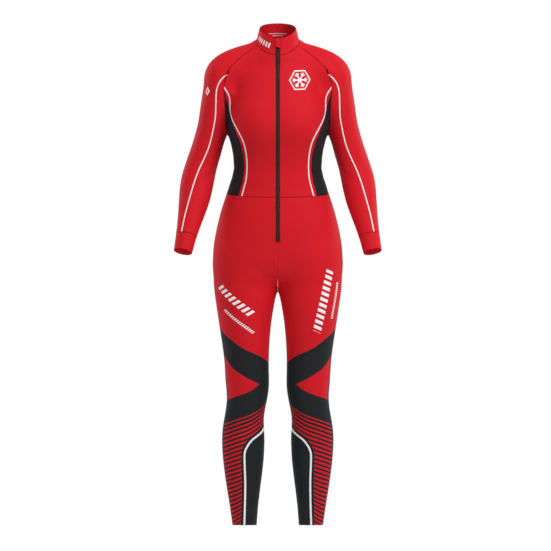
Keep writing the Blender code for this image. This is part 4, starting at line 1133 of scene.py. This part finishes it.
def sheet_tree(names):
    """These panels as one surface to cast rays on."""
    form = bmesh.new()
    for name in names:
        form.from_mesh(cloth[name].data)
    tree = BVHTree.FromBMesh(form)
    form.free()
    return tree


def zip_row(tree, x, low, high):
    """A run beside the zip, found on the cloth from the front."""
    hits = (tree.ray_cast((x, -1, z), (0, 1, 0)) for z in np.arange(low, high, ROW_PITCH))
    return [(hit[0], hit[1]) for hit in hits if hit[0]]


def ring_row(tree, centre, axis, tilt=0.0):
    """A run round a leg or a wrist, found on the cloth from its middle."""
    turn = Vector((0, 0, 1)).rotation_difference(Vector(axis))
    rays = (turn @ Vector((math.cos(angle), math.sin(angle), -tilt * math.sin(angle)))
            for angle in np.linspace(0, 2 * math.pi, RING_RAYS + 1))
    hits = (tree.ray_cast(centre, ray, RAY_REACH) for ray in rays)
    return [(hit[0], hit[1]) for hit in hits if hit[0]]


def thread_spindle():
    """A pointed spindle, one unit long and thick."""
    form = bmesh.new()
    bmesh.ops.create_uvsphere(form, u_segments=4, v_segments=2, radius=0.5)
    return form


RED_THREAD = hard_material("red_thread", (0.20, 0.006, 0.010, 1), 0.6)
BLACK_THREAD = hard_material("black_thread", (0.010, 0.011, 0.012, 1), 0.6)
for colour, seams, material in (("red", RED_SEAMS, RED_THREAD), ("black", BLACK_SEAMS, BLACK_THREAD)):
    frames = [at for pair in seams for run in seam_runs(*pair.split()) for at in zigzag(run)]
    joined_copies(colour + "_seams", thread_spindle(), frames, material)

front_tree = sheet_tree(("front_left", "front_right", "leg_front_left", "leg_front_right"))
zip_foot, neck_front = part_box("zip_tape_left")[0].z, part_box("collar")[0].z
frames = []
for x in (-ZIP_ROW_X, ZIP_ROW_X):
    frames += straight_row(zip_row(front_tree, x, zip_foot, neck_front))
for side, sign in (("left", 1), ("right", -1)):
    wrist, axis = Vector(WRIST), Vector(WRIST_AXIS).normalized()
    wrist.x, axis.x = sign * wrist.x, sign * axis.x
    for height in CUFF_ROWS:
        frames += straight_row(ring_row(sheet_tree(["cuff_" + side]), wrist + height * axis, axis))
joined_copies("red_rows", thread_spindle(), frames, RED_THREAD)
frames = []
for side, sign in (("left", 1), ("right", -1)):
    leg_tree = sheet_tree(("leg_front_" + side, "leg_back_" + side))
    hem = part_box("leg_front_" + side)[0].z
    for height in HEM_ROWS:
        middle = Vector((sign * LEG_X, HEM_PIVOT, hem + height))
        frames += straight_row(ring_row(leg_tree, middle, (0, 0, 1), HEM_TILT / 2))
joined_copies("black_rows", thread_spindle(), frames, BLACK_THREAD)

# ---------------------------------------------------------------- the studio
# A pale floor under a suit that hangs clear of it, a large soft key light from the front on the viewer's
# right, and softer light from above and behind. The camera stands where the photograph's did.
CAMERA_TILT = math.radians(7)
FRAME_WIDTH = 1.554             # what the picture shows at the suit, side to side
AIM_X, AIM_UP = -0.0064, -0.647 # the picture's middle
LENS = 900                      # far away, so that near and far parts show at one scale
HEM_CLEARANCE = 0.09            # the hems hang this high over the floor
FLOOR_HALF = 30

ground_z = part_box("leg_front_left")[0].z - HEM_CLEARANCE
floor_form = bmesh.new()
bmesh.ops.create_grid(floor_form, x_segments=1, y_segments=1, size=FLOOR_HALF)
floor_mesh = bpy.data.meshes.new("floor")
floor_form.to_mesh(floor_mesh)
floor_form.free()
floor_mesh.transform(Matrix.Translation((0, 0, ground_z)))
floor = add_piece("floor", floor_mesh)
floor_material = bpy.data.materials.new("pale_floor")
floor_material.use_nodes = True
floor_tree = floor_material.node_tree
floor_shader = floor_tree.nodes["Principled BSDF"]
floor_shader.inputs["Base Color"].default_value = (0.80, 0.80, 0.80, 1)
floor_shader.inputs["Roughness"].default_value = 0.9
floor_glow = floor_tree.nodes.new("ShaderNodeEmission")
floor_glow.inputs["Strength"].default_value = 1.0
floor_mix = floor_tree.nodes.new("ShaderNodeMixShader")
floor_path = floor_tree.nodes.new("ShaderNodeLightPath")
floor_tree.links.new(floor_path.outputs["Is Camera Ray"], floor_mix.inputs["Fac"])
floor_tree.links.new(floor_shader.outputs["BSDF"], floor_mix.inputs[1])
floor_tree.links.new(floor_glow.outputs["Emission"], floor_mix.inputs[2])
floor_tree.links.new(floor_mix.outputs["Shader"], floor_tree.nodes["Material Output"].inputs["Surface"])
floor_mesh.materials.append(floor_material)


def soft_light(name, place, aim, size, power):
    """A round area light that faces its aim."""
    lamp = bpy.data.lights.new(name, "AREA")
    lamp.shape = "DISK"
    lamp.size = size
    lamp.energy = power
    light = bpy.data.objects.new(name, lamp)
    light.location = place
    light.rotation_euler = (Vector(aim) - Vector(place)).to_track_quat("-Z", "Y").to_euler()
    bpy.context.scene.collection.objects.link(light)


soft_light("key", (3.1, -3.2, 2.2), (0, 0, -0.6), 1.8, 101)
soft_light("top", (-0.2, -1.4, 3.0), (0, 0, -0.4), 1.6, 40)
soft_light("edge_left", (-3.0, 2.2, 0.4), (0, 0, -0.6), 1.6, 34)
soft_light("edge_right", (3.0, 2.2, 0.4), (0, 0, -0.6), 1.6, 34)

world = bpy.data.worlds.new("studio")
world.use_nodes = True
sky = world.node_tree
background = sky.nodes["Background"]
background.inputs["Color"].default_value = (1, 1, 1, 1)
background.inputs["Strength"].default_value = 0.43
seen = sky.nodes.new("ShaderNodeBackground")
seen.inputs["Color"].default_value = (1, 1, 1, 1)
seen.inputs["Strength"].default_value = 1.0
choice = sky.nodes.new("ShaderNodeMixShader")
path = sky.nodes.new("ShaderNodeLightPath")
sky.links.new(path.outputs["Is Camera Ray"], choice.inputs["Fac"])
sky.links.new(background.outputs["Background"], choice.inputs[1])
sky.links.new(seen.outputs["Background"], choice.inputs[2])
sky.links.new(choice.outputs["Shader"], sky.nodes["World Output"].inputs["Surface"])
bpy.context.scene.world = world
bpy.context.scene.view_settings.view_transform = "Standard"

lens = bpy.data.cameras.new("camera")
lens.lens = LENS
camera = bpy.data.objects.new("camera", lens)
distance = FRAME_WIDTH * LENS / lens.sensor_width
away = Vector((0, -math.cos(CAMERA_TILT), math.sin(CAMERA_TILT)))
camera.location = Vector((AIM_X, 0, AIM_UP / math.cos(CAMERA_TILT))) + distance * away
camera.rotation_euler = (-away).to_track_quat("-Z", "Y").to_euler()
lens.clip_end = 200
bpy.context.scene.collection.objects.link(camera)
bpy.context.scene.camera = camera
